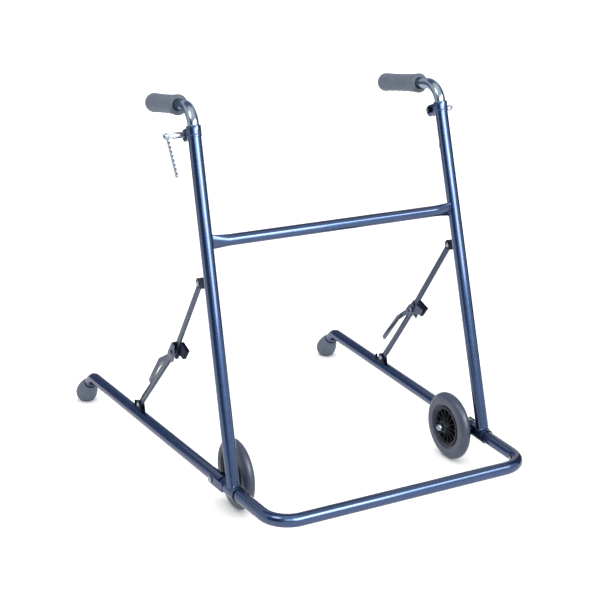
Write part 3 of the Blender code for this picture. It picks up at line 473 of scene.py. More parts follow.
def surface(name, colour, mottle, mottle_mm, roughness, grain_mm, grain_depth, **sockets):
    """A finish with a mottled colour, uneven roughness and a fine grain.

    Mottle is the colour's share of change, roughness its lowest and highest value, and grain_depth in metres.
    """
    material, tree, shader = blank(name)
    for key, value in sockets.items():
        shader.inputs[key.replace("_", " ")].default_value = value
    tones = [[c * (1 + change) for c in colour] for change in (-mottle, mottle)]
    cloud = speckle(tree, mottle_mm, 4)
    tree.links.new(shades(tree, cloud, *zip(MOTTLE_ENDS, tones)), shader.inputs["Base Color"])
    smear = speckle(tree, mottle_mm * SMEAR_SIZE, 5)
    tree.links.new(shades(tree, smear, *zip(SMEAR_ENDS, roughness)), shader.inputs["Roughness"])
    grain = speckle(tree, grain_mm, 3)
    bump = node(tree, "ShaderNodeBump", {"Height": grain, "Strength": 1.0, "Distance": grain_depth})
    tree.links.new(bump.outputs["Normal"], shader.inputs["Normal"])
    return material


RIM_HIGHLIGHT_DEPTHS = (0.2, 0.32)  # shares of the rim's width, from its middle plane, at which the painted edge highlight starts and is full


def paint_rim_shade_and_highlight(material, colour):
    """Lightens a wheel rim away from its web, as painted shade on the recessed web and a painted highlight on
    the edges of ring and ribs.
    """
    tree = material.node_tree
    base = tree.nodes["Principled BSDF"].inputs["Base Color"]
    place = node(tree, "ShaderNodeTexCoord").outputs["Object"]
    across = node(tree, "ShaderNodeSeparateXYZ", {"Vector": place}).outputs["X"]
    side = node(tree, "ShaderNodeMath", {0: across}, operation="ABSOLUTE").outputs[0]
    depth = node(tree, "ShaderNodeMath", {0: side, 1: WHEEL_X}, operation="SUBTRACT").outputs[0]
    depth = node(tree, "ShaderNodeMath", {0: depth}, operation="ABSOLUTE").outputs[0]
    low, high = (RIM_WIDTH * share for share in RIM_HIGHLIGHT_DEPTHS)
    limits = {"Value": depth, "From Min": low, "From Max": high}
    share = node(tree, "ShaderNodeMapRange", limits, interpolation_type="SMOOTHSTEP").outputs["Result"]
    tones = {"Factor": share, 6: base.links[0].from_socket, 7: (*colour, 1)}
    mixed = node(tree, "ShaderNodeMix", tones, data_type="RGBA")
    tree.links.new(mixed.outputs[2], base)


class WALKER_OT_finishes(bpy.types.Operator):
    """Mixes the lacquers, platings, rubbers and mouldings"""

    bl_idname = "walker.finishes"
    bl_label = "Finishes"

    def execute(self, context):
        colours = context.scene.walker_colours
        # Metallic stoved lacquer on steel tube: a deep blue with pale streaks and slight orange peel
        surface("Metallic_blue_lacquer", colours.lacquer, 0.06, 40, (0.24, 0.30), 1.6, 0.000004, Metallic=0.95,
                Specular_Tint=(0.14, 0.18, 0.26, 1), Coat_Weight=1.0, Coat_Roughness=0.09)
        # Satin lacquer on flat steel bar: even grey-blue with soft highlights
        surface("Satin_strut_lacquer", colours.strut_lacquer, 0.07, 25, (0.30, 0.40), 1.0, 0.00001,
                Metallic=0.75)
        # Stoved enamel on pressed steel: nearly black, with small sharp highlights at its edges
        surface("Black_stoved_enamel", colours.black, 0.15, 12, (0.30, 0.42), 0.8, 0.00001,
                Specular_IOR_Level=0.08, Specular_Tint=(0.45, 0.6, 1.0, 1))
        # Moulded nylon: black, slightly grained
        surface("Black_moulded_nylon", colours.black, 0.18, 10, (0.30, 0.42), 0.5, 0.00002,
                Specular_IOR_Level=0.04, Specular_Tint=(0.45, 0.6, 1.0, 1))
        # Moulded polypropylene rim: black, with painted shade on its recessed web and a painted highlight on
        # the edges of ring and ribs
        rim = surface("Black_moulded_rim", colours.rim, 0.2, 15, (0.34, 0.48), 0.6, 0.00002,
                      Specular_IOR_Level=0.15)
        # Painted shade on the rim's web and a painted highlight on the edges of its ring and ribs
        paint_rim_shade_and_highlight(rim, colours.rim_edge_highlight)
        # Chrome plate on steel tube: mirror-like, with the faintest haze
        surface("Bright_chrome_plate", colours.chrome, 0.02, 30, (0.12, 0.18), 2.0, 0.000002, Metallic=1.0,
                Specular_Tint=(0.6, 0.65, 0.7, 1))
        # Zinc plate: bright cool grey, slightly clouded
        surface("Bright_zinc_plate", colours.zinc, 0.08, 6, (0.22, 0.36), 0.6, 0.000005, Metallic=1.0)
        # Oiled spring wire: dark drawn steel
        surface("Oiled_spring_wire", colours.zinc, 0.15, 3, (0.30, 0.42), 0.4, 0.000005, Metallic=1.0)
        # Moulded grey rubber: soft, fully matt, with a dusty bloom and a fine stipple
        surface("Grey_moulded_rubber", colours.rubber, 0.07, 18, (0.62, 0.78), 0.7, 0.00006)
        # Solid tyre rubber: a little darker and smoother than the grips
        surface("Grey_tyre_rubber", colours.tyre, 0.08, 22, (0.36, 0.48), 0.8, 0.00003)
        return {"FINISHED"}


# ---- pieces ----


class WALKER_OT_base_tube(bpy.types.Operator):
    """Bends the base tube into a U"""

    bl_idname = "walker.base_tube"
    bl_label = "Base tube"

    def execute(self, context):
        sizes = context.scene.walker_sizes
        rear = on_leg(-BASE_TUBE_END)
        corner = on_leg(-FRONT_RUN)
        points = [rear, corner]
        points += [Vector((-point.x, point.y, point.z)) for point in (corner, rear)]
        tube = bent_tube(points, FRONT_BEND, sizes.tube_diameter / 2, sizes.tube_wall, sizes.round_sides)
        dress(tube, "walker_front_tube", "frame", "Metallic_blue_lacquer", "front_tube")
        return {"FINISHED"}


CROSSBAR_RADIUS = 0.0120
CROSSBAR_FLAT = (0.0045, 0.0145)  # half depth and half height where the end is pressed flat
CROSSBAR_FLAT_RUN = 0.052
CROSSBAR_EASE = 0.8  # share of that run over which the section changes
CROSSBAR_SINK = 0.6  # how deep the end stands in the upright, in walls of the tube
CROSSBAR_STATIONS = 14
CROSSBAR_WELD_STEPS = 48
UPRIGHT_WELD_STEPS = 72
WELD_RIPPLE = (1.0, 0.92, 0.74, 0.96, 1.04, 0.80)  # shares of the bead's radius, round by round


def crossbar_section(x, reach):
    """Half depth and half height of the crossbar at a distance from its middle."""
    start = reach - CROSSBAR_FLAT_RUN
    share = share_between(abs(x), start, start + CROSSBAR_FLAT_RUN * CROSSBAR_EASE)
    ease = share * share * (3 - 2 * share)
    return [CROSSBAR_RADIUS + (flat - CROSSBAR_RADIUS) * ease for flat in CROSSBAR_FLAT]


def weld(name, starts, direction, foot, axis, radius, width, far=False):
    """Lays a rippled bead where lines from the starts meet a round tube."""
    points = [onto_cylinder(start, direction, foot, axis, radius, far) for start in starts]
    bead = wire(points, width / 2, True, WELD_RIPPLE)
    dress_pair(bead, name, "frame", "Metallic_blue_lacquer", stands=False)


class WALKER_OT_crossbar(bpy.types.Operator):
    """Draws the crossbar, presses its ends flat and lays a weld round each"""

    bl_idname = "walker.crossbar"
    bl_label = "Crossbar"

    def execute(self, context):
        sizes = context.scene.walker_sizes
        middle = on_upright(CROSSBAR_RISE)
        reach = middle.x
        start = reach - CROSSBAR_FLAT_RUN
        run = reach - sizes.tube_diameter / 2 + sizes.tube_wall * CROSSBAR_SINK - start
        stations = [start + run * i / CROSSBAR_STATIONS for i in range(CROSSBAR_STATIONS + 1)]
        stations = [-x for x in stations[::-1]] + stations
        depth, height = crossbar_section(stations[0], reach)
        centre = in_plane(middle, stations[0])
        ring(centre, X_AXIS, depth, sizes.round_sides)
        bpy.ops.transform.resize(value=(1, 1, height / depth), center_override=centre)
        for here, there in zip(stations, stations[1:]):
            wide, tall = crossbar_section(there, reach)
            extrude(X_AXIS * (there - here))
            centre = in_plane(middle, there)
            bpy.ops.transform.resize(value=(1, wide / depth, tall / height), center_override=centre)
            depth, height = wide, tall
        bar = close_edit(fill=True)
        dress(bar, "walker_crossbar", "frame", "Metallic_blue_lacquer", "crossbar")
        deep, high = CROSSBAR_FLAT
        circle = arc(0, FULL_TURN, CROSSBAR_WELD_STEPS)[:-1]
        starts = laid(in_plane(middle, 0), Y_AXIS * deep, Z_AXIS * high, circle)
        radius = sizes.tube_diameter / 2
        weld("crossbar_weld", starts, X_AXIS, UPRIGHT_FOOT, UPRIGHT_UP, radius, sizes.weld_width)
        return {"FINISHED"}


SLEEVE_WALL = 0.0020
SLEEVE_LENGTH = 0.058
SLEEVE_MOUTH = 0.005  # depth of the wider front mouth
SLEEVE_MOUTH_GAP = 0.0009
SLEEVE_LEAD = 0.018
CHEEK_THICKNESS = 0.0022
CHEEK_HEIGHT = 0.0190
CHEEK_OVERLAP = 0.016
CHEEK_STEPS = 18
SLEEVE_EDGE = 0.0004
CHEEK_EDGE = 0.0006


class WALKER_OT_side_brackets(bpy.types.Operator):
    """Turns the sleeves on the base tube's ends and sets the two cheeks beside each leg"""

    bl_idname = "walker.side_brackets"
    bl_label = "Side brackets"

    def execute(self, context):
        sizes = context.scene.walker_sizes
        bore = sizes.tube_diameter / 2 + GAP
        outside = bore + SLEEVE_WALL
        front = on_leg(-UPRIGHT_LEAD - SLEEVE_LEAD)
        mouth = bore + SLEEVE_MOUTH_GAP
        profile = [(bore, SLEEVE_MOUTH), (mouth, SLEEVE_MOUTH), (mouth, 0), (outside, 0)]
        profile += [(outside, SLEEVE_LENGTH), (bore, SLEEVE_LENGTH)]
        bracket = turned(profile, front, LEG_DIRECTION, sizes.round_sides, SLEEVE_EDGE)
        start = SLEEVE_LENGTH - UPRIGHT_LEAD - SLEEVE_LEAD - CHEEK_OVERLAP
        inner = sizes.tube_diameter / 2 + LEG_CLEARANCE
        half = CHEEK_HEIGHT / 2
        rounding = arc(-QUARTER_TURN, QUARTER_TURN, CHEEK_STEPS, half)
        for outwards in (LEG_SIDE, -LEG_SIDE):
            face = outwards * inner
            outline = [on_leg(start, -half) + face]
            outline += laid(AXLE + face, LEG_DIRECTION, Z_AXIS, rounding)
            outline.append(on_leg(start, half) + face)
            joined(bracket, plate(outline, outwards * CHEEK_THICKNESS, CHEEK_EDGE))
        dress_pair(bracket, "side_bracket", "frame", "Metallic_blue_lacquer")
        return {"FINISHED"}


class WALKER_OT_uprights(bpy.types.Operator):
    """Draws the leaning uprights and welds their feet to the sleeves"""

    bl_idname = "walker.uprights"
    bl_label = "Uprights"

    def execute(self, context):
        sizes = context.scene.walker_sizes
        radius = sizes.tube_diameter / 2
        top = COLLAR + UPRIGHT_UP * (COLLAR_HEIGHT / 2 - 2 * GAP)
        upright = bent_tube([UPRIGHT_FOOT, top], 0, radius, sizes.tube_wall, sizes.round_sides)
        sleeve = radius + GAP + SLEEVE_WALL
        reach = radius * 3
        low, high = on_leg(-UPRIGHT_LEAD - reach), on_leg(-UPRIGHT_LEAD + reach)
        cut(upright, rod(low, high, sleeve, sizes.round_sides * 2))
        dress_pair(upright, "upright", "frame", "Metallic_blue_lacquer")
        across = UPRIGHT_BACK.cross(UPRIGHT_UP).normalized()
        circle = arc(0, FULL_TURN, UPRIGHT_WELD_STEPS, radius)[:-1]
        starts = laid(UPRIGHT_FOOT, across, UPRIGHT_BACK, circle)
        weld("upright_weld", starts, UPRIGHT_UP, AXLE, LEG_DIRECTION, sleeve, sizes.weld_width, far=True)
        return {"FINISHED"}


COLLAR_HEIGHT = 0.022
COLLAR_WALL = 0.0009
COLLAR_GROOVE = (0.0032, 0.0036, 0.0042, 0.0046)  # heights at which its sides start and end
COLLAR_GROOVE_DEPTH = 0.0005
COLLAR_BROKEN_EDGE = 0.0012
COLLAR_EDGE = 0.0003
EAR_THICKNESS = 0.0045
EAR_SLIT = 0.0030
EAR_RADIUS = 0.0125
EAR_REACH = 0.0365
EAR_DROP = 0.0050
EAR_ROOT = 0.42  # half the ear's height at the collar, in collar heights
EAR_ROUNDING = (math.radians(80), math.radians(-90), 14)
EAR_EDGE = 0.0009
SCREW_RADIUS = 0.0035
SCREW_SHOULDER = SCREW_RADIUS * 1.6
SCREW_TIP = 0.0022
SCREW_EDGE = 0.0005
ARM_START = 0.0040
ARM_LENGTH = 0.0420
ARM_HEIGHT = 0.012
ARM_DEPTH = 0.006
ARM_SLOT = 0.0052
ARM_BOSS = 0.0060
ARM_EDGE = 0.0013
CLAMP_NUT = 0.0055
CLAMP_NUT_RADIUS = 0.0070
CLAMP_NUT_EDGE = 0.0006
EAR_FACE = EAR_SLIT / 2 + EAR_THICKNESS
ARM_IN = SCREW.x + EAR_FACE + ARM_START
ARM_OUT = ARM_IN + ARM_LENGTH
SLOT_IN = ARM_IN + ARM_BOSS + ARM_SLOT / 2
SLOT_OUT = ARM_OUT - ARM_HEIGHT / 2


def ear_point(reach, drop):
    return COLLAR + UPRIGHT_BACK * reach - UPRIGHT_UP * drop


def round_ended(centre, x0, x1, height):
    """The outline of a bar with round ends in a plane square to Y."""
    outline = []
    for x, start in ((x0, QUARTER_TURN), (x1, -QUARTER_TURN)):
        outline += laid(in_plane(centre, x), X_AXIS, Z_AXIS, arc(start, start + math.pi, 10, height / 2))
    return outline


class WALKER_OT_clamps(bpy.types.Operator):
    """Makes the split collars with their ears, and the screws with their slotted arms"""

    bl_idname = "walker.clamps"
    bl_label = "Clamps"

    def execute(self, context):
        sizes = context.scene.walker_sizes
        bore = sizes.tube_diameter / 2 + GAP
        outside = bore + COLLAR_WALL
        deep = outside - COLLAR_GROOVE_DEPTH
        profile = [(bore, 0), (outside, 0), *zip((outside, deep, deep, outside), COLLAR_GROOVE)]
        profile += [(outside, COLLAR_HEIGHT - COLLAR_BROKEN_EDGE), (deep, COLLAR_HEIGHT), (bore, COLLAR_HEIGHT)]
        foot = COLLAR - UPRIGHT_UP * COLLAR_HEIGHT / 2
        band = turned(profile, foot, UPRIGHT_UP, sizes.round_sides, COLLAR_EDGE)
        across = UPRIGHT_BACK.cross(UPRIGHT_UP).normalized()
        root = bore + COLLAR_WALL / 2
        outline = [ear_point(root, COLLAR_HEIGHT * EAR_ROOT), ear_point(root, -COLLAR_HEIGHT * EAR_ROOT)]
        for back, up in arc(*EAR_ROUNDING, EAR_RADIUS):
            outline.append(ear_point(EAR_REACH + back, EAR_DROP - up))
        half = across * EAR_SLIT / 2
        ears = []
        for sign in (1, -1):
            ear = [point + half * sign for point in outline]
            ears.append(plate(ear, across * sign * EAR_THICKNESS, EAR_EDGE))
        slit = laid(ear_point(bore / 2, 0), half, UPRIGHT_UP * COLLAR_HEIGHT, SQUARE)
        cut(band, plate(slit, UPRIGHT_BACK * (bore / 2 + COLLAR_WALL * 2)))
        dress_pair(joined(band, *ears), "clamp_collar", "frame", "Metallic_blue_lacquer")
        outer = SCREW.x - EAR_FACE - GAP * 2
        profile = bush(SCREW_RADIUS + GAP, CLAMP_NUT_RADIUS, 0, CLAMP_NUT)
        nut = turned(profile, in_plane(SCREW, outer - CLAMP_NUT), X_AXIS, 6, CLAMP_NUT_EDGE)
        dress_pair(nut, "clamp_nut", "frame", "Black_stoved_enamel")
        start = SCREW - Y_AXIS * ARM_DEPTH / 2
        half = ARM_HEIGHT / 2
        arm = plate(round_ended(start, ARM_IN + half, ARM_OUT - half, ARM_HEIGHT), Y_AXIS * ARM_DEPTH)
        slot = round_ended(start - Y_AXIS * ARM_DEPTH, SLOT_IN, SLOT_OUT, ARM_SLOT)
        cut(arm, plate(slot, Y_AXIS * ARM_DEPTH * 3))
        bevelled(arm, ARM_EDGE, 4)
        end = outer - CLAMP_NUT - SCREW_TIP
        face = SCREW.x + EAR_FACE + GAP
        root = ARM_IN + ARM_BOSS / 3
        shank = [(0, end), (SCREW_RADIUS, end), (SCREW_RADIUS, face)]
        shank += [(SCREW_SHOULDER, face), (SCREW_SHOULDER, root), (0, root)]
        joined(arm, turned(shank, in_plane(SCREW, 0), X_AXIS, PIN_SIDES, SCREW_EDGE))
        dress_pair(arm, "clamp_screw", "clamp", "Bright_zinc_plate")
        return {"FINISHED"}


PIN_RADIUS = 0.0023
PIN_HEAD_RADIUS = 0.0045
PIN_HEAD = 0.0015
ROD_RADIUS = 0.00325
ROD_EYE_RADIUS = 0.0056
ROD_EYE_DEPTH = 0.0040
ROD_LENGTH = 0.084
ROD_LEAN = {"right": 0.0, "left": math.radians(12.6)}
ROD_STEPS = 56
ROD_SIDES = 16
ROD_TWIST = math.radians(14)  # from step to step
ROD_FLUTES = 4
ROD_FLUTE_DEPTH = 0.22  # as a share of the radius
ROD_EYE_EDGE = 0.0012
PIN_EDGE = 0.0006


class WALKER_OT_drop_rods(bpy.types.Operator):
    """Hangs a twisted rod on its pin in the slot of each arm"""

    bl_idname = "walker.drop_rods"
    bl_label = "Drop rods"

    def execute(self, context):
        back = ARM_DEPTH / 2 + GAP
        front = -ARM_DEPTH / 2 - GAP * 2 - ROD_EYE_DEPTH
        tip, tail = front - PIN_HEAD, back + PIN_HEAD
        profile = [(0, tip), (PIN_HEAD_RADIUS, tip), (PIN_HEAD_RADIUS, front), (PIN_RADIUS, front)]
        profile += [(PIN_RADIUS, back), (PIN_HEAD_RADIUS, back), (PIN_HEAD_RADIUS, tail), (0, tail)]
        for side in ("right", "left"):
            place = pivot(f"rod_swing_{side}")
            pin = turned(profile, place, Y_AXIS, PIN_SIDES, PIN_EDGE)
            dress(pin, f"walker_rod_pin_{side}", f"rod_slider_{side}", "Bright_zinc_plate", f"rod_pin_{side}")
            middle = place - Y_AXIS * (back + ROD_EYE_DEPTH / 2)
            half = ROD_EYE_DEPTH / 2
            eye = bush(PIN_RADIUS + GAP, ROD_EYE_RADIUS, -half, half)
            eye = turned(eye, middle, Y_AXIS, HEAD_SIDES, ROD_EYE_EDGE)
            hang = PIN_HEAD_RADIUS + GAP
            start = place - Y_AXIS * (back + GAP + ROD_RADIUS) - Z_AXIS * hang
            step = -Z_AXIS * (ROD_LENGTH - hang) / ROD_STEPS
            ring(start, -Z_AXIS, ROD_RADIUS, ROD_SIDES)
            bpy.ops.mesh.edge_face_add()
            for i in range(ROD_STEPS):
                extrude(step)
                centre = start + step * (i + 1)
                bpy.ops.transform.rotate(value=ROD_TWIST, orient_axis="Z", center_override=centre)
            bar = close_edit()
            for vertex in bar.data.vertices:
                if vertex.index % ROD_FLUTES == ROD_FLUTES // 2:
                    vertex.co = vertex.co.lerp(Vector((start.x, start.y, vertex.co.z)), ROD_FLUTE_DEPTH)
            joined(bar, eye)
            turn = Matrix.Rotation(-ROD_LEAN[side], 4, "Y")
            bar.data.transform(Matrix.Translation(place) @ turn @ Matrix.Translation(-place))
            dress(bar, f"walker_drop_rod_{side}", f"rod_{side}", "Bright_zinc_plate", f"drop_rod_{side}")
        return {"FINISHED"}


GRIP_FLANGE_RADIUS = 0.0210
GRIP_LEAD_IN = (0.0012, 0.0010)  # radius and depth of the chamfer at the bore's mouth
GRIP_FACE = ((-0.0040, 0.0004), (-0.0014, 0), (0, 0.0016), (0, 0.0046))  # from the flange's radius, and depth
GRIP_BODY_START = 0.0062
GRIP_STATIONS = 48
GRIP_WAIST = 0.0010
GRIP_WAIST_RUN = 1.05  # over 1, the waist ends before the grip does
GRIP_WAIST_POWER = 0.8
GRIP_FLARE = 0.75  # share of the flange that the body rises to behind it
GRIP_FLARE_RUN = 4  # the flare takes the first 1 in so many parts
GRIP_ROUND_END = 0.010
GRIP_EDGE = 0.0004
GRIP_SKIN = 0.85  # share of the radius outside which a point is on the surface
WAVE_START = 0.034
WAVE_PITCH = 0.0235
WAVE_COUNT = 4
WAVE_DEPTH = 0.0016


class WALKER_OT_handles(bpy.types.Operator):
    """Bends the chromed handle tubes and moulds the grips with their finger waves"""

    bl_idname = "walker.handles"
    bl_label = "Handles"

    def execute(self, context):
        sizes = context.scene.walker_sizes
        start = HANDLE_CORNER + GRIP_DIRECTION * GRIP_START
        length = sizes.grip_length
        bottom = COLLAR - UPRIGHT_UP * HANDLE_INSERT
        end = start + GRIP_DIRECTION * (length - GRIP_END_WALL - GAP * 2)
        points = [bottom, HANDLE_CORNER, end]
        tube = bent_tube(points, HANDLE_BEND, HANDLE_RADIUS, HANDLE_WALL, sizes.round_sides)
        dress_pair(tube, "handle_tube", "handle", "Bright_chrome_plate")
        bore = HANDLE_RADIUS + GAP
        inner_end = length - GRIP_END_WALL
        radius = sizes.grip_diameter / 2
        body_end = length - GRIP_ROUND_END
        spread, depth = GRIP_LEAD_IN
        profile = [(0, inner_end), (bore, inner_end), (bore, depth), (bore + spread, 0)]
        profile += [(GRIP_FLANGE_RADIUS + step, depth) for step, depth in GRIP_FACE]
        for i in range(GRIP_STATIONS + 1):
            share = i / GRIP_STATIONS
            waist = math.sin(math.pi * min(share * GRIP_WAIST_RUN, 1)) ** GRIP_WAIST_POWER
            flare = (GRIP_FLANGE_RADIUS - radius) * GRIP_FLARE * max(1 - share * GRIP_FLARE_RUN, 0) ** 2
            along = GRIP_BODY_START + (body_end - GRIP_BODY_START) * share
            profile.append((radius - GRIP_WAIST * waist + flare, along))
        for out, along in arc(0, QUARTER_TURN, 9, GRIP_ROUND_END)[1:]:
            profile.append((radius - GRIP_ROUND_END + out, body_end + along))
        profile.append((0, length))
        grip = turned(profile, start, GRIP_DIRECTION, sizes.round_sides, GRIP_EDGE)
        down = (GRIP_DIRECTION * GRIP_DIRECTION.z - Z_AXIS).normalized()
        for vertex in grip.data.vertices:
            offset = vertex.co - start
            along = offset.dot(GRIP_DIRECTION)
            spoke = offset - GRIP_DIRECTION * along
            waves = (along - WAVE_START) / WAVE_PITCH
            if spoke.length < radius * GRIP_SKIN or not 0 < waves < WAVE_COUNT:
                continue
            facing_down = max(spoke.normalized().dot(down), 0) ** 2
            wave = 0.5 - 0.5 * math.cos(FULL_TURN * waves)
            vertex.co -= spoke.normalized() * WAVE_DEPTH * wave * facing_down
        dress_pair(grip, "grip", "handle", "Grey_moulded_rubber")
        return {"FINISHED"}


STRUT_WIDTH = 0.014
STRUT_THICKNESS = 0.0045
STRUT_EYE_RADIUS = 0.0085
STRUT_FLAT = 0.032
PIVOT_RADIUS = 0.0030
PIVOT_HEAD_RADIUS = 0.0055
PIVOT_HEAD = 0.0028
EAR_PLATE = 0.0030
EAR_PLAY = 0.0004
EAR_ROUND = 0.0108
BRACKET_PLAY = 0.0006
KNEE_PLATE = 0.0025
BLOCK_SINK = 0.8  # radius share at which a bracket's block starts inside the tube
BLOCK_EDGE = 0.0007
RIVET_EDGE = 0.0012
RIVET_CROWN = 0.0003
RIVET_FLAT = 0.6
RIVET_RIM = 0.35  # height of the head's straight side, in head heights
REST_RADIUS = 0.0030
REST_REACH = 0.0300
REST_RISE = 0.0248
REST_EDGE = 0.0012
TONGUE_SINK = 0.6
TONGUE_CORNER = 0.003
TONGUE_EDGE = 0.0005
LOWER_ROOT = 1.35  # half the lower block's length at the leg, in ear radii


def strut_bracket(place, root, half_root, tube_ends, radius):
    """A block on a round tube, slotted for a strut that swings between its two ears."""
    inner = STRUT_THICKNESS / 2 + EAR_PLAY
    outer = inner + EAR_PLATE
    run = (in_plane(place, 0) - in_plane(root, 0)).normalized()
    edge = X_AXIS.cross(run)
    low_face = in_plane(root, place.x - outer)
    outline = [low_face - edge * half_root, low_face + edge * half_root]
    centre = in_plane(place, place.x - outer)
    outline += laid(centre, run, edge, arc(QUARTER_TURN, -QUARTER_TURN, 16, EAR_ROUND))
    block = plate(outline, X_AXIS * outer * 2)
    bottom = in_plane(place, place.x - inner) - run * (STRUT_EYE_RADIUS + BRACKET_PLAY)
    slot = [bottom - edge * half_root * 2, bottom + edge * half_root * 2]
    slot += [point + run * EAR_ROUND * 3 for point in slot[::-1]]
    cut(block, plate(slot, X_AXIS * inner * 2), rod(*tube_ends, radius + GAP))
    return bevelled(block, BLOCK_EDGE)


def rivet(place):
    """A rivet with two domed heads, through a bracket's ears."""
    face = STRUT_THICKNESS / 2 + EAR_PLAY + EAR_PLATE + GAP
    tip = face + PIVOT_HEAD
    profile = [(0, -tip), (PIVOT_HEAD_RADIUS * RIVET_FLAT, RIVET_CROWN - tip)]
    profile += [(PIVOT_HEAD_RADIUS, -face - PIVOT_HEAD * RIVET_RIM)]
    profile += [(PIVOT_HEAD_RADIUS, -face), (PIVOT_RADIUS, -face)]
    return turned(profile + flipped(profile), place, X_AXIS, PIN_SIDES, RIVET_EDGE)


class WALKER_OT_strut_brackets(bpy.types.Operator):
    """Cuts the black brackets that hold the struts on upright and leg, and their rivets"""

    bl_idname = "walker.strut_brackets"
    bl_label = "Strut brackets"

    def execute(self, context):
        radius = context.scene.walker_sizes.tube_diameter / 2
        axis_point = on_upright(UPPER_PIVOT_RISE)
        back = Vector((0, UPRIGHT_BACK.y, UPRIGHT_BACK.z)).normalized()
        root = UPPER_PIVOT - back * (UPPER_PIVOT_REACH * back.y - radius * BLOCK_SINK)
        span = UPRIGHT_UP * EAR_ROUND * 3
        upper = strut_bracket(UPPER_PIVOT, root, EAR_ROUND, (axis_point - span, axis_point + span), radius)
        dress_pair(upper, "upper_strut_bracket", "frame", "Black_stoved_enamel")
        dress_pair(rivet(UPPER_PIVOT), "upper_strut_pin", "frame", "Bright_zinc_plate")
        root = LOWER_PIVOT - Z_AXIS * (LOWER_PIVOT_RISE - radius * BLOCK_SINK)
        reach = EAR_ROUND * 5
        ends = (on_leg(LOWER_PIVOT_RUN - reach), on_leg(LOWER_PIVOT_RUN + reach))
        lower = strut_bracket(LOWER_PIVOT, root, EAR_ROUND * LOWER_ROOT, ends, radius)
        stud = in_plane(on_leg(LOWER_PIVOT_RUN + REST_REACH), LOWER_PIVOT.x)
        sunk, top = radius * TONGUE_SINK, radius + KNEE_PLATE
        half = EAR_ROUND / 2
        corner = stud + Vector((-half, REST_RADIUS, sunk))
        outline = [corner, corner + X_AXIS * half * 2]
        outline += [point - Y_AXIS * (REST_REACH + REST_RADIUS * 2) for point in outline[::-1]]
        tongue = plate(softened(outline, TONGUE_CORNER, steps=6), Z_AXIS * (top - sunk))
        cut(tongue, rod(*ends, radius + GAP))
        bevelled(tongue, TONGUE_EDGE)
        foot = radius + KNEE_PLATE / 2
        post = [(0, foot), (REST_RADIUS, foot), (REST_RADIUS, REST_RISE), (0, REST_RISE)]
        joined(lower, tongue, turned(post, stud, Z_AXIS, PIN_SIDES, REST_EDGE))
        dress_pair(lower, "lower_strut_bracket", "leg", "Black_stoved_enamel")
        dress_pair(rivet(LOWER_PIVOT), "lower_strut_pin", "leg", "Bright_zinc_plate")
        return {"FINISHED"}


def eyed_bar(length, middles=()):
    """The outline of a flat bar with a round eye at each end, as pairs along and across it.

    Middles are places along the straight edges that get a point of their own.
    """
    half = STRUT_WIDTH / 2
    neck = math.asin(half / STRUT_EYE_RADIUS)
    outline = []
    for start, side, edge in ((neck, 0, -half), (math.pi + neck, length, half)):
        eye = arc(start, start + FULL_TURN - 2 * neck, 24, STRUT_EYE_RADIUS)
        outline += [(side + along, across) for along, across in eye]
        outline += [(along, edge) for along in (middles if edge < 0 else middles[::-1])]
    return outline


def stepped(bar, low, high, step):
    """Sets a bar along the lower strut outwards, between two places along it."""
    for vertex in bar.data.vertices:
        vertex.co.x += step * share_between((vertex.co - KNEE).dot(LOWER_ALONG), low, high)
    return bar


LAYER_GAP = STRUT_THICKNESS + GAP  # from one strut's plane to the other's at the knee
STRUT_EDGE = 0.0009


class WALKER_OT_struts(bpy.types.Operator):
    """Cuts the two halves of each folding strut and sets the lower one outwards towards the leg"""

    bl_idname = "walker.struts"
    bl_label = "Struts"

    def execute(self, context):
        depth = X_AXIS * STRUT_THICKNESS
        bar = eyed_bar((KNEE - UPPER_PIVOT).length)
        upper = plate(laid(UPPER_PIVOT - depth / 2, UPPER_ALONG, UPPER_OUT, bar), depth, STRUT_EDGE)
        dress_pair(upper, "upper_strut", "upper_strut", "Satin_strut_lacquer")
        length = LOWER_RUN.length
        bends = (STRUT_FLAT, length - STRUT_FLAT)
        corner = KNEE - depth / 2 + X_AXIS * LAYER_GAP
        lower = plate(laid(corner, LOWER_ALONG, LOWER_OUT, eyed_bar(length, bends)), depth)
        stepped(lower, *bends, LOWER_PIVOT.x - KNEE.x - LAYER_GAP)
        dress_pair(bevelled(lower, STRUT_EDGE), "lower_strut", "lower_strut", "Satin_strut_lacquer")
        return {"FINISHED"}


SPRING_LENGTH = 0.0060
SPRING_RADIUS = 0.0070
SPRING_WIRE = 0.0007
SPRING_TURNS = 3
SPRING_STEPS = 24  # to a turn
LEVER_THICKNESS = 0.0030
LEVER_WIDTH = 0.011
LEVER_SHIFT = 0.0110
UPPER_FACE_IN = KNEE.x - STRUT_THICKNESS / 2
UPPER_FACE_OUT = KNEE.x + STRUT_THICKNESS / 2
GUSSET_IN = UPPER_FACE_OUT + GAP + STRUT_THICKNESS + GAP
GUSSET_OUT = GUSSET_IN + KNEE_PLATE
ROCKER_OUT = UPPER_FACE_IN - GAP
ROCKER_IN = ROCKER_OUT - LEVER_THICKNESS
SPRING_IN = ROCKER_IN - GAP - SPRING_LENGTH
LEVER_PATH = ((0.006, 0.003), (0.028, 0.008), (0.080, 0.024), (0.171, 0.0225))
LEVER_CORNER = 0.016
LEVER_SET = (0.040, 0.080)  # places along the strut between which the handle sets outwards
LEVER_EDGE = 0.0006
ROCKER_PLATE = (
    (-0.024, 0.005), (0.000, 0.013), (0.016, 0.012), (0.023, -0.006), (0.010, -0.013), (-0.012, -0.009),
)
ROCKER_ARM = (
    (-0.004, -0.002), (-0.018, -0.011), (-0.037, -0.026), (-0.043, -0.036), (-0.029, -0.034), (0.004, -0.010),
)
GUSSET_OUTLINE = ((-0.024, 0.0105), (0.020, 0.0135), (0.017, -0.017), (-0.010, -0.012), (-0.024, -0.004))
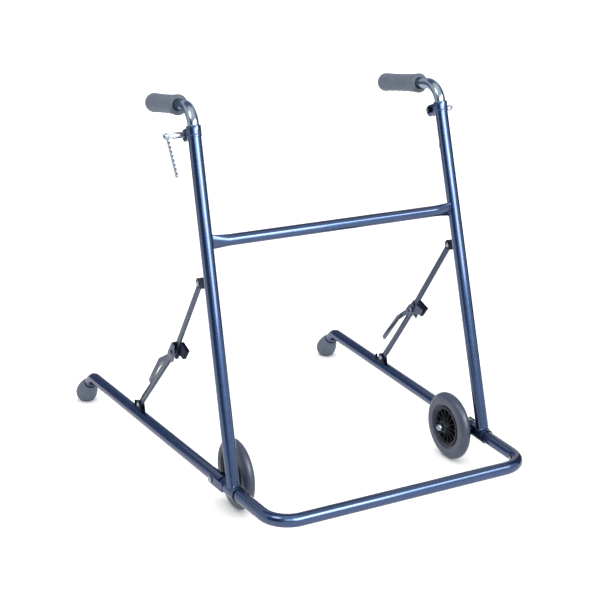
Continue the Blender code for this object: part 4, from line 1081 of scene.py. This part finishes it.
STOP_OUTLINE = ((-0.0235, 0.0073), (-0.0235, 0.0098), (0.0095, 0.0126), (0.0095, 0.0101))
TAB_OUTLINE = (
    (-0.0455, -0.0082), (-0.0553, -0.0395), (-0.0230, -0.0374), (-0.0140, -0.0170), (-0.0170, -0.0082),
)
TAB_THICKNESS = 0.0085
TAB_PROUD = 0.0042
TAB_FACE = 0.0008  # the rocker's steel shows on the tab's inner side
TAB_FACE_OUTLINE = (
    (-0.031, -0.0090), (-0.0440, -0.0345), (-0.0255, -0.0365), (-0.0150, -0.0170), (-0.0170, -0.0090),
)
PLATE_CORNER = 0.005
ARM_CORNER = 0.003
TAB_CORNER = 0.0015
STOP_CORNER = 0.0003
GUSSET_EDGE = 0.0005
BOLT_ROUND = 0.0016
BOLT_FLAT = 0.55  # share of the radius that stays flat on top
BOLT_EDGE = 0.0010
NUT_ROUND = 0.0014
NUT_FLAT = 0.6
NUT_EDGE = 0.0008


def knee_plate(outline, x0, x1, corner, edge=0):
    points = [in_plane(at_knee(*point), x0) for point in softened(outline, corner, steps=5)]
    return plate(points, X_AXIS * (x1 - x0), edge)


class WALKER_OT_knees(bpy.types.Operator):
    """Makes the gusset plates, the knee pivots with their springs and the release levers with their tabs"""

    bl_idname = "walker.knees"
    bl_label = "Knees"

    def execute(self, context):
        gusset = knee_plate(GUSSET_OUTLINE, GUSSET_IN, GUSSET_OUT, PLATE_CORNER)
        fuse(gusset, knee_plate(STOP_OUTLINE, UPPER_FACE_IN, GUSSET_IN + KNEE_PLATE / 2, STOP_CORNER))
        dress_pair(bevelled(gusset, GUSSET_EDGE), "knee_gusset", "lower_strut", "Satin_strut_lacquer")
        line = in_plane(KNEE, 0)
        head = GUSSET_OUT + GAP
        low = UPPER_FACE_OUT + GAP
        top = head + PIVOT_HEAD
        profile = [(0, low), (PIVOT_RADIUS, low), (PIVOT_RADIUS, head), (PIVOT_HEAD_RADIUS, head)]
        profile += [(PIVOT_HEAD_RADIUS, top - BOLT_ROUND), (PIVOT_HEAD_RADIUS * BOLT_FLAT, top), (0, top)]
        bolt = turned(profile, line, X_AXIS, PIN_SIDES, BOLT_EDGE)
        dress_pair(bolt, "knee_bolt", "lower_strut", "Satin_strut_lacquer")
        head = SPRING_IN - GAP
        top = head - PIVOT_HEAD
        low = UPPER_FACE_OUT
        profile = [(0, low), (PIVOT_RADIUS, low), (PIVOT_RADIUS, head), (SPRING_RADIUS, head)]
        profile += [(SPRING_RADIUS, top + NUT_ROUND), (SPRING_RADIUS * NUT_FLAT, top), (0, top)]
        nut = turned(profile, line, X_AXIS, PIN_SIDES, NUT_EDGE)
        dress_pair(nut, "knee_nut", "upper_strut", "Satin_strut_lacquer")
        steps = SPRING_STEPS * SPRING_TURNS
        rise = X_AXIS * (SPRING_LENGTH - 2 * SPRING_WIRE) / steps
        coil = arc(0, FULL_TURN * SPRING_TURNS, steps, SPRING_RADIUS - SPRING_WIRE)
        coil = laid(in_plane(KNEE, SPRING_IN + SPRING_WIRE), Y_AXIS, Z_AXIS, coil)
        coil = [point + rise * i for i, point in enumerate(coil)]
        dress_pair(wire(coil, SPRING_WIRE), "lever_spring", "upper_strut", "Oiled_spring_wire")
        outer = ROCKER_OUT + TAB_PROUD
        inner = outer - TAB_THICKNESS
        lever = knee_plate(ROCKER_PLATE, ROCKER_IN, ROCKER_OUT, PLATE_CORNER)
        stem = knee_plate(ROCKER_ARM, inner, ROCKER_OUT, ARM_CORNER)
        face = knee_plate(TAB_FACE_OUTLINE, inner, inner + TAB_FACE, TAB_CORNER)
        fuse(lever, stem, face, self.handle())
        dress_pair(bevelled(lever, LEVER_EDGE), "release_lever", "release", "Satin_strut_lacquer")
        tab = knee_plate(TAB_OUTLINE, inner + TAB_FACE + GAP, outer, TAB_CORNER, LEVER_EDGE)
        dress_pair(tab, "latch_tab", "release", "Black_moulded_nylon")
        return {"FINISHED"}

    def handle(self):
        """The lever's long handle: a flat bar that swings off the strut and sets outwards past the rocker."""
        line = softened([Vector(point) for point in LEVER_PATH], LEVER_CORNER, closed=False, steps=8)
        half = LEVER_WIDTH / 2
        left, right = [], []
        for i, point in enumerate(line):
            run = (line[min(i + 1, len(line) - 1)] - line[max(i - 1, 0)]).normalized()
            off = Vector((-run.y, run.x))
            left.append(point + off * half)
            right.append(point - off * half)
        tip = laid(line[-1], off, run, arc(0, math.pi, 12, half)[1:-1])
        outline = laid(in_plane(KNEE, ROCKER_IN), LOWER_ALONG, LOWER_OUT, left + tip + right[::-1])
        return stepped(plate(outline, X_AXIS * LEVER_THICKNESS), *LEVER_SET, LEVER_SHIFT)


FERRULE_MOUTH = 0.0296
FERRULE_CENTRE = 0.0700
FERRULE_RADIUS = 0.0254
FERRULE_MOUTH_RADIUS = 0.0165
FERRULE_GROOVE = 0.0009
FERRULE_STEPS = 26
FERRULE_PLAIN_TIP = 0.75  # share of the bulb's end after which it has no grooves


class WALKER_OT_legs(bpy.types.Operator):
    """Bends the leg tubes down at their feet and moulds the ferrules"""

    bl_idname = "walker.legs"
    bl_label = "Legs"

    def execute(self, context):
        sizes = context.scene.walker_sizes
        radius = sizes.tube_diameter / 2
        corner = on_leg(LEG_RUN)
        points = [on_leg(-LEG_LEAD), corner, corner + FOOT_DIRECTION * FOOT_LENGTH]
        tube = bent_tube(points, FOOT_BEND, radius, sizes.tube_wall, sizes.round_sides)
        dress_pair(tube, "leg_tube", "leg", "Metallic_blue_lacquer")
        bore = radius + GAP
        bore_end = FOOT_LENGTH + GAP * 2
        swell = FERRULE_CENTRE - FERRULE_MOUTH
        grooves = [FERRULE_GROOVE if i % 3 == 2 else 0.0 for i in range(FERRULE_STEPS)]
        profile = [(0, bore_end), (bore, bore_end), (bore, FERRULE_MOUTH)]
        for i, groove in enumerate(grooves):
            share = i / FERRULE_STEPS
            bulge = (FERRULE_RADIUS - FERRULE_MOUTH_RADIUS) * math.sin(share * QUARTER_TURN)
            profile.append((FERRULE_MOUTH_RADIUS + bulge - groove, FERRULE_MOUTH + swell * share))
        for i, groove in enumerate(grooves):
            angle = QUARTER_TURN * i / FERRULE_STEPS
            reach = FERRULE_RADIUS - (groove if i < FERRULE_STEPS * FERRULE_PLAIN_TIP else 0.0)
            profile.append((reach * math.cos(angle), FERRULE_CENTRE + reach * math.sin(angle)))
        profile.append((0, FERRULE_CENTRE + FERRULE_RADIUS))
        only(turned(profile, corner, FOOT_DIRECTION, sizes.round_sides))
        open_edit()
        bpy.ops.mesh.bisect(plane_co=(0, 0, 0), plane_no=(0, 0, 1), use_fill=True, clear_inner=True)
        dress_pair(close_edit(), "ferrule", "leg", "Grey_moulded_rubber")
        return {"FINISHED"}


TYRE_SECTION = 0.0147
TYRE_HALF_WIDTH = 0.0122
TYRE_SEAT = 0.0085
TYRE_GROOVE = 0.0032
TYRE_SQUARE = 0.08  # 1 is a round inner half, less is squarer
TYRE_SWEEP = math.radians(135)  # from the tread to where the section meets the seat
TYRE_STEPS = 40
WHEEL_INSET = 0.0417
RIM_LIP = 0.0052
RIM_SLOPE = 0.0045
RIM_WIDTH = 0.0236
RIM_WEB = 0.003
RIM_FOOT = (0.3, 0.7)  # where the ring's inner slope steepens, in slopes and half widths
RIM_LIP_STEP = (0.0006, 0.0008)  # the lip's inner edge, broken
RIM_RING_STEP = (0.0014, 0.0016)  # and its outer edge
HUB_LENGTH = 0.036
HUB_RADIUS = 0.0145
HUB_END = ((-0.0035, 0), (-0.003, -0.0015), (-0.0008, -0.0015))  # from the hub's radius and its end
RIB_COUNT = 14
RIB_THICKNESS = 0.0016
RIB_HALF_WIDTH = 0.0090
RIB_ROOT = 0.002
RIB_SAG = 0.0014
RIB_STEPS = 8
RIB_EDGE = 0.0004
WHEEL_EDGE = 0.0006
AXLE_RADIUS = 0.005
BUSH_WALL = 0.0025
AXLE_HEAD_RADIUS = 0.0078
AXLE_HEAD = 0.0034
NUT_RADIUS = 0.0090
NUT_LENGTH = 0.0065
NUT_DOME = 0.0078
WHEEL_X = AXLE.x - WHEEL_INSET


class WALKER_OT_wheels(bpy.types.Operator):
    """Turns the tyres and the ribbed rims"""

    bl_idname = "walker.wheels"
    bl_label = "Wheels"

    def execute(self, context):
        sizes = context.scene.walker_sizes
        outer = sizes.wheel_diameter / 2
        hub = in_plane(AXLE, WHEEL_X)
        seat = outer - 2 * TYRE_SECTION + GAP
        centre = outer - TYRE_SECTION
        sides = sizes.round_sides * 2
        profile = [(seat, -TYRE_SEAT), (seat + TYRE_GROOVE, -TYRE_SEAT)]
        for out, side in arc(-TYRE_SWEEP, TYRE_SWEEP, TYRE_STEPS):
            if out < 0:
                side = math.copysign(abs(side) ** TYRE_SQUARE, side)
            profile.append((centre + TYRE_SECTION * out, TYRE_HALF_WIDTH * side))
        profile += [(seat + TYRE_GROOVE, TYRE_SEAT), (seat, TYRE_SEAT)]
        tyre = turned(profile, hub, X_AXIS, sides, WHEEL_EDGE)
        dress_pair(tyre, "tyre", "wheel", "Grey_tyre_rubber")
        ring_out = seat - GAP
        lip = ring_out - RIM_LIP
        ring_in = lip - RIM_SLOPE
        half_ring, half_web, half_hub = RIM_WIDTH / 2, RIM_WEB / 2, HUB_LENGTH / 2
        half = [(AXLE_RADIUS + GAP + BUSH_WALL + GAP, half_hub)]
        half += [(HUB_RADIUS + step, half_hub + depth) for step, depth in HUB_END]
        half += [(HUB_RADIUS, half_web), (ring_in, half_web)]
        half += [(ring_in + RIM_SLOPE * RIM_FOOT[0], half_ring * RIM_FOOT[1])]
        half += [(lip, half_ring - RIM_LIP_STEP[1]), (lip + RIM_LIP_STEP[0], half_ring)]
        half += [(ring_out - RIM_RING_STEP[0], half_ring), (ring_out, half_ring - RIM_RING_STEP[1])]
        half.reverse()
        rim = turned(flipped(half) + half, hub, X_AXIS, sides, WHEEL_EDGE)
        start = HUB_RADIUS - RIB_ROOT
        run = ring_in + RIM_SLOPE / 2 - start
        edge = []
        for i in range(RIB_STEPS + 1):
            share = i / RIB_STEPS
            edge.append((start + run * share, RIB_HALF_WIDTH - RIB_SAG * math.sin(share * math.pi)))
        outline = laid(hub - Z_AXIS * RIB_THICKNESS / 2, Y_AXIS, X_AXIS, edge + flipped(edge))
        rib = plate(outline, Z_AXIS * RIB_THICKNESS, RIB_EDGE)
        ribs = [rib]
        for i in range(1, RIB_COUNT):
            only(rib)
            bpy.ops.object.duplicate()
            turn = Matrix.Rotation(FULL_TURN * i / RIB_COUNT, 4, "X")
            bpy.context.object.data.transform(Matrix.Translation(hub) @ turn @ Matrix.Translation(-hub))
            ribs.append(bpy.context.object)
        dress_pair(joined(rim, *ribs), "wheel_rim", "wheel", "Black_moulded_rim")
        return {"FINISHED"}


AXLE_HEAD_ROUND = (0.0022, 0.0004)  # how far below its top the head's side and its dome's edge end
AXLE_HEAD_FLAT = 0.6
AXLE_EDGE = 0.0012
AXLE_NUT_EDGE = 0.0008
DOME_SQUASH = 0.9
DOME_EDGE = 0.0003


class WALKER_OT_axles(bpy.types.Operator):
    """Turns the axle bolts, dome nuts, spacers and bushes"""

    bl_idname = "walker.axles"
    bl_label = "Axles"

    def execute(self, context):
        radius = context.scene.walker_sizes.tube_diameter / 2
        line = in_plane(AXLE, 0)
        hub_in = WHEEL_X - HUB_LENGTH / 2
        hub_out = WHEEL_X + HUB_LENGTH / 2
        bracket = (radius + LEG_CLEARANCE + CHEEK_THICKNESS) / math.cos(SPLAY)
        bracket += CHEEK_HEIGHT / 2 * math.tan(SPLAY)
        bore = AXLE_RADIUS + GAP
        wall = bore + BUSH_WALL
        half = HUB_LENGTH / 2 - GAP
        liner = turned(bush(bore, wall, -half, half), in_plane(AXLE, WHEEL_X), X_AXIS, PIN_SIDES)
        dress_pair(liner, "hub_bush", "wheel", "Bright_zinc_plate")
        spacer = turned(bush(bore, wall, hub_out + GAP, AXLE.x - bracket - GAP), line, X_AXIS, PIN_SIDES)
        dress_pair(spacer, "axle_spacer", "frame", "Bright_zinc_plate")
        end = hub_in - NUT_LENGTH
        head = AXLE.x + bracket + GAP
        tip = head + AXLE_HEAD
        side_end, dome_end = (tip - depth for depth in AXLE_HEAD_ROUND)
        profile = [(0, end), (AXLE_RADIUS, end), (AXLE_RADIUS, head), (AXLE_HEAD_RADIUS, head)]
        profile += [(AXLE_HEAD_RADIUS, side_end), (AXLE_HEAD_RADIUS * AXLE_HEAD_FLAT, dome_end), (0, tip)]
        bolt = turned(profile, line, X_AXIS, HEAD_SIDES, AXLE_EDGE)
        dress_pair(bolt, "axle_bolt", "frame", "Bright_zinc_plate")
        face = hub_in - GAP * 2
        flat_end = face - NUT_LENGTH
        hexagon = turned(bush(bore, NUT_RADIUS, flat_end, face), line, X_AXIS, 6, AXLE_NUT_EDGE)
        dome_start = flat_end + NUT_LENGTH / 2
        dome = [(0, dome_start), (NUT_DOME, dome_start)]
        for out, along in arc(0, QUARTER_TURN, 12, NUT_DOME):
            dome.append((out, flat_end + GAP - along * DOME_SQUASH))
        dome[-1] = (0, dome[-1][1])
        joined(hexagon, turned(dome, line, X_AXIS, HEAD_SIDES, DOME_EDGE))
        dress_pair(hexagon, "axle_nut", "frame", "Bright_chrome_plate")
        return {"FINISHED"}


# ---- stage ----

STAGE_CENTRE = Vector((0, 0, 0.4))
FLOOR_SIZE = 30
FLOOR_GREY = (0.93, 0.96)
FLOOR_GLOW = 0.50
CONTACT_SHADOW = 0.028  # how far from a foot or wheel the floor's glow is still dimmed
SKY = ((0.0, 0.45), (0.8, 1.1))  # height and brightness
CAMERA_VIEW = (-28.02, 18.24)
CAMERA_DISTANCE = 2.7475
CAMERA_TARGET = Vector((-0.113, -0.23405, 0.4252))
CAMERA_LENS = 81.9

# Name, azimuth and elevation in degrees, distance, size, power in watts, and whether it lights more than gloss
LAMPS = (
    ("overhead_box", (-20, 72), 3.2, (2.6, 2.2), 10, True),
    ("upright_strip", (8, 24), 2.4, (1.5, 1.3), 54, False),
    ("upper_strip", (-10, 27), 2.5, (2.0, 0.9), 22, False),
    ("crossbar_strip", (30, 33), 5.0, (2.6, 1.1), 100, False),
    ("corner_strip", (-70, 48), 3.0, (1.0, 1.0), 30, False),
)
# Name, azimuth and elevation in degrees, distance, size, and brightness
FLAGS = (
    ("left_flag", (-62, 12), 2.2, (1.9, 2.0), 0.22),
    ("rear_left_flag", (-150, 8), 2.2, (1.2, 1.6), 0.28),
    ("right_flag", (88, 10), 1.7, (1.3, 2.4), 0.15),
    ("rear_low_flag", (172, 13), 2.3, (2.4, 1.3), 0.32),
    ("rear_high_flag", (180, 64), 2.4, (3.0, 1.3), 0.28),
)
FLAG_TINT = (0.7, 0.95, 1.5)


def away(azimuth, elevation):
    """The direction to a viewer at an azimuth and elevation in degrees."""
    azimuth, elevation = math.radians(azimuth), math.radians(elevation)
    level = math.cos(elevation)
    return Vector((math.sin(azimuth) * level, -math.cos(azimuth) * level, math.sin(elevation)))


def backdrop(tree):
    """1 for the rays that see the backdrop: straight on, in gloss and through glass."""
    light = node(tree, "ShaderNodeLightPath").outputs
    seen = light["Is Camera Ray"]
    for ray in ("Is Transmission Ray", "Is Glossy Ray"):
        seen = node(tree, "ShaderNodeMath", {0: seen, 1: light[ray]}, operation="MAXIMUM").outputs[0]
    return seen


def aimed(name, data, place, direction):
    """Sets up a lamp or a camera that looks back along the direction."""
    made = bpy.data.objects.new(name, data)
    bpy.context.scene.collection.objects.link(made)
    made.location = place
    made.rotation_euler = (-direction).to_track_quat("-Z", "Y").to_euler()
    return made


class WALKER_OT_stage(bpy.types.Operator):
    """Sets the floor, the lamps, the backdrop and the camera"""

    bl_idname = "walker.stage"
    bl_label = "Stage"

    def execute(self, context):
        scene = context.scene
        self.floor()
        for lamp in LAMPS:
            self.lamp(*lamp)
        for flag in FLAGS:
            self.flag(*flag)
        world = scene.world or bpy.data.worlds.new("Studio")
        scene.world = world
        world.use_nodes = True
        tree = world.node_tree
        direction = node(tree, "ShaderNodeTexCoord").outputs["Generated"]
        height = node(tree, "ShaderNodeSeparateXYZ", {"Vector": direction}).outputs["Z"]
        tones = {"Factor": backdrop(tree), 6: shades(tree, height, *SKY), 7: (1, 1, 1, 1)}
        colour = node(tree, "ShaderNodeMix", tones, data_type="RGBA")
        tree.links.new(colour.outputs[2], tree.nodes["Background"].inputs["Color"])
        camera = bpy.data.cameras.new("camera")
        camera.lens = CAMERA_LENS
        back = away(*CAMERA_VIEW)
        scene.camera = aimed("camera", camera, CAMERA_TARGET + back * CAMERA_DISTANCE, back)
        scene.view_settings.view_transform = "Standard"
        return {"FINISHED"}

    def floor(self):
        """A white floor that glows for the camera, and less so close to what stands on it."""
        settled(bpy.ops.mesh.primitive_plane_add, size=FLOOR_SIZE)
        floor = bpy.context.object
        floor.name = "studio_floor"
        material, tree, shader = blank("Studio_floor")
        shader.inputs["Roughness"].default_value = 0.9
        shader.inputs["Emission Color"].default_value = (1, 1, 1, 1)
        tree.links.new(shades(tree, speckle(tree, 400), *enumerate(FLOOR_GREY)), shader.inputs["Base Color"])
        glow = node(tree, "ShaderNodeMath", {0: backdrop(tree), 1: FLOOR_GLOW}, operation="MULTIPLY").outputs[0]
        near = node(tree, "ShaderNodeAmbientOcclusion", {"Distance": CONTACT_SHADOW}, samples=8).outputs["AO"]
        glow = node(tree, "ShaderNodeMath", {0: glow, 1: near}, operation="MULTIPLY").outputs[0]
        tree.links.new(glow, shader.inputs["Emission Strength"])
        floor.data.materials.append(material)

    def flag(self, name, view, distance, size, brightness):
        """A dark card that shows only in gloss, as a studio flag keeps light off a metal's edge."""
        direction = away(*view)
        place = STAGE_CENTRE + direction * distance
        settled(bpy.ops.mesh.primitive_plane_add, size=1)
        card = bpy.context.object
        card.name = name
        turn = facing(direction).to_matrix().to_4x4()
        card.data.transform(Matrix.Translation(place) @ turn @ Matrix.Diagonal((*size, 1, 1)))
        material, _, shader = blank(name)
        shader.inputs["Base Color"].default_value = (*(brightness * tint for tint in FLAG_TINT), 1)
        card.data.materials.append(material)
        card.visible_camera = card.visible_diffuse = card.visible_shadow = card.visible_transmission = False

    def lamp(self, name, view, distance, size, power, diffuse):
        """A soft box, or a strip that shows only in gloss."""
        data = bpy.data.lights.new(name, "AREA")
        data.shape = "RECTANGLE"
        data.size, data.size_y = size
        data.energy = power
        direction = away(*view)
        lamp = aimed(name, data, STAGE_CENTRE + direction * distance, direction)
        lamp.visible_diffuse = diffuse


def length_choice(name, description, metres):
    return FloatProperty(name=name, description=description, default=metres, unit="LENGTH")


class WalkerSizes(bpy.types.PropertyGroup):
    """Sizes of the walker's pieces"""

    tube_diameter: length_choice("Tube diameter", "Outside diameter of the frame tubes", 0.0270)
    tube_wall: length_choice("Tube wall", "Wall of the frame tubes", 0.0016)
    weld_width: length_choice("Weld width", "Width of the weld beads", 0.0040)
    grip_diameter: length_choice("Grip diameter", "Outside diameter of the grips", 0.0400)
    grip_length: length_choice("Grip length", "Length of the grips", 0.1458)
    wheel_diameter: length_choice("Wheel diameter", "Outside diameter of the tyres", 0.150)
    round_sides: IntProperty(name="Sides", description="Sides of the round pieces", default=48, min=12)


def colour_choice(name, description, hex_colour):
    settings = {"subtype": "COLOR", "size": 3, "min": 0, "max": 1}
    return FloatVectorProperty(name=name, description=description, default=linear(hex_colour), **settings)


class WalkerColours(bpy.types.PropertyGroup):
    """Colours of the walker's finishes"""

    lacquer: colour_choice("Lacquer", "Metallic blue lacquer of the tubes", "284065")
    strut_lacquer: colour_choice("Strut lacquer", "Satin lacquer of the struts", "414a5d")
    black: colour_choice("Black", "Enamel and mouldings", "0c1326")
    rim: colour_choice("Rim", "Moulded wheel rims", "090a0e")
    # The rim edge colour is a painted highlight on the edges of ring and ribs
    rim_edge_highlight: colour_choice("Rim edges", "Polished edges of the wheel rims", "2b2e37")
    chrome: colour_choice("Chrome", "Plating of the handle tubes", "8c98a5")
    zinc: colour_choice("Zinc", "Plating of bolts, arms and rods", "8f97a2")
    rubber: colour_choice("Rubber", "Grips and ferrules", "667080")
    tyre: colour_choice("Tyre", "Solid tyres", "434c60")


OPERATORS = (
    WALKER_OT_finishes,
    WALKER_OT_base_tube,
    WALKER_OT_crossbar,
    WALKER_OT_side_brackets,
    WALKER_OT_uprights,
    WALKER_OT_clamps,
    WALKER_OT_drop_rods,
    WALKER_OT_handles,
    WALKER_OT_strut_brackets,
    WALKER_OT_struts,
    WALKER_OT_knees,
    WALKER_OT_legs,
    WALKER_OT_wheels,
    WALKER_OT_axles,
    WALKER_OT_stage,
)


class WALKER_PT_panel(bpy.types.Panel):
    """Lists the walker's sizes, colours and pieces"""

    bl_idname = "WALKER_PT_panel"
    bl_label = "Walking frame"
    bl_space_type = "VIEW_3D"
    bl_region_type = "UI"
    bl_category = "Walker"

    def draw(self, context):
        for group in (context.scene.walker_sizes, context.scene.walker_colours):
            column = self.layout.column()
            for key in group.__annotations__:
                column.prop(group, key)
        column = self.layout.column()
        for operator in OPERATORS:
            column.operator(operator.bl_idname)


CLASSES = (WalkerSizes, WalkerColours, *OPERATORS, WALKER_PT_panel)


def register():
    for cls in CLASSES:
        bpy.utils.register_class(cls)
    bpy.types.Scene.walker_sizes = PointerProperty(type=WalkerSizes)
    bpy.types.Scene.walker_colours = PointerProperty(type=WalkerColours)


def unregister():
    del bpy.types.Scene.walker_colours
    del bpy.types.Scene.walker_sizes
    for cls in reversed(CLASSES):
        bpy.utils.unregister_class(cls)


def main():
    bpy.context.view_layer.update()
    register()
    for operator in OPERATORS:
        getattr(bpy.ops.walker, operator.bl_idname.split(".")[1])()


if __name__ == "__main__":
    main()
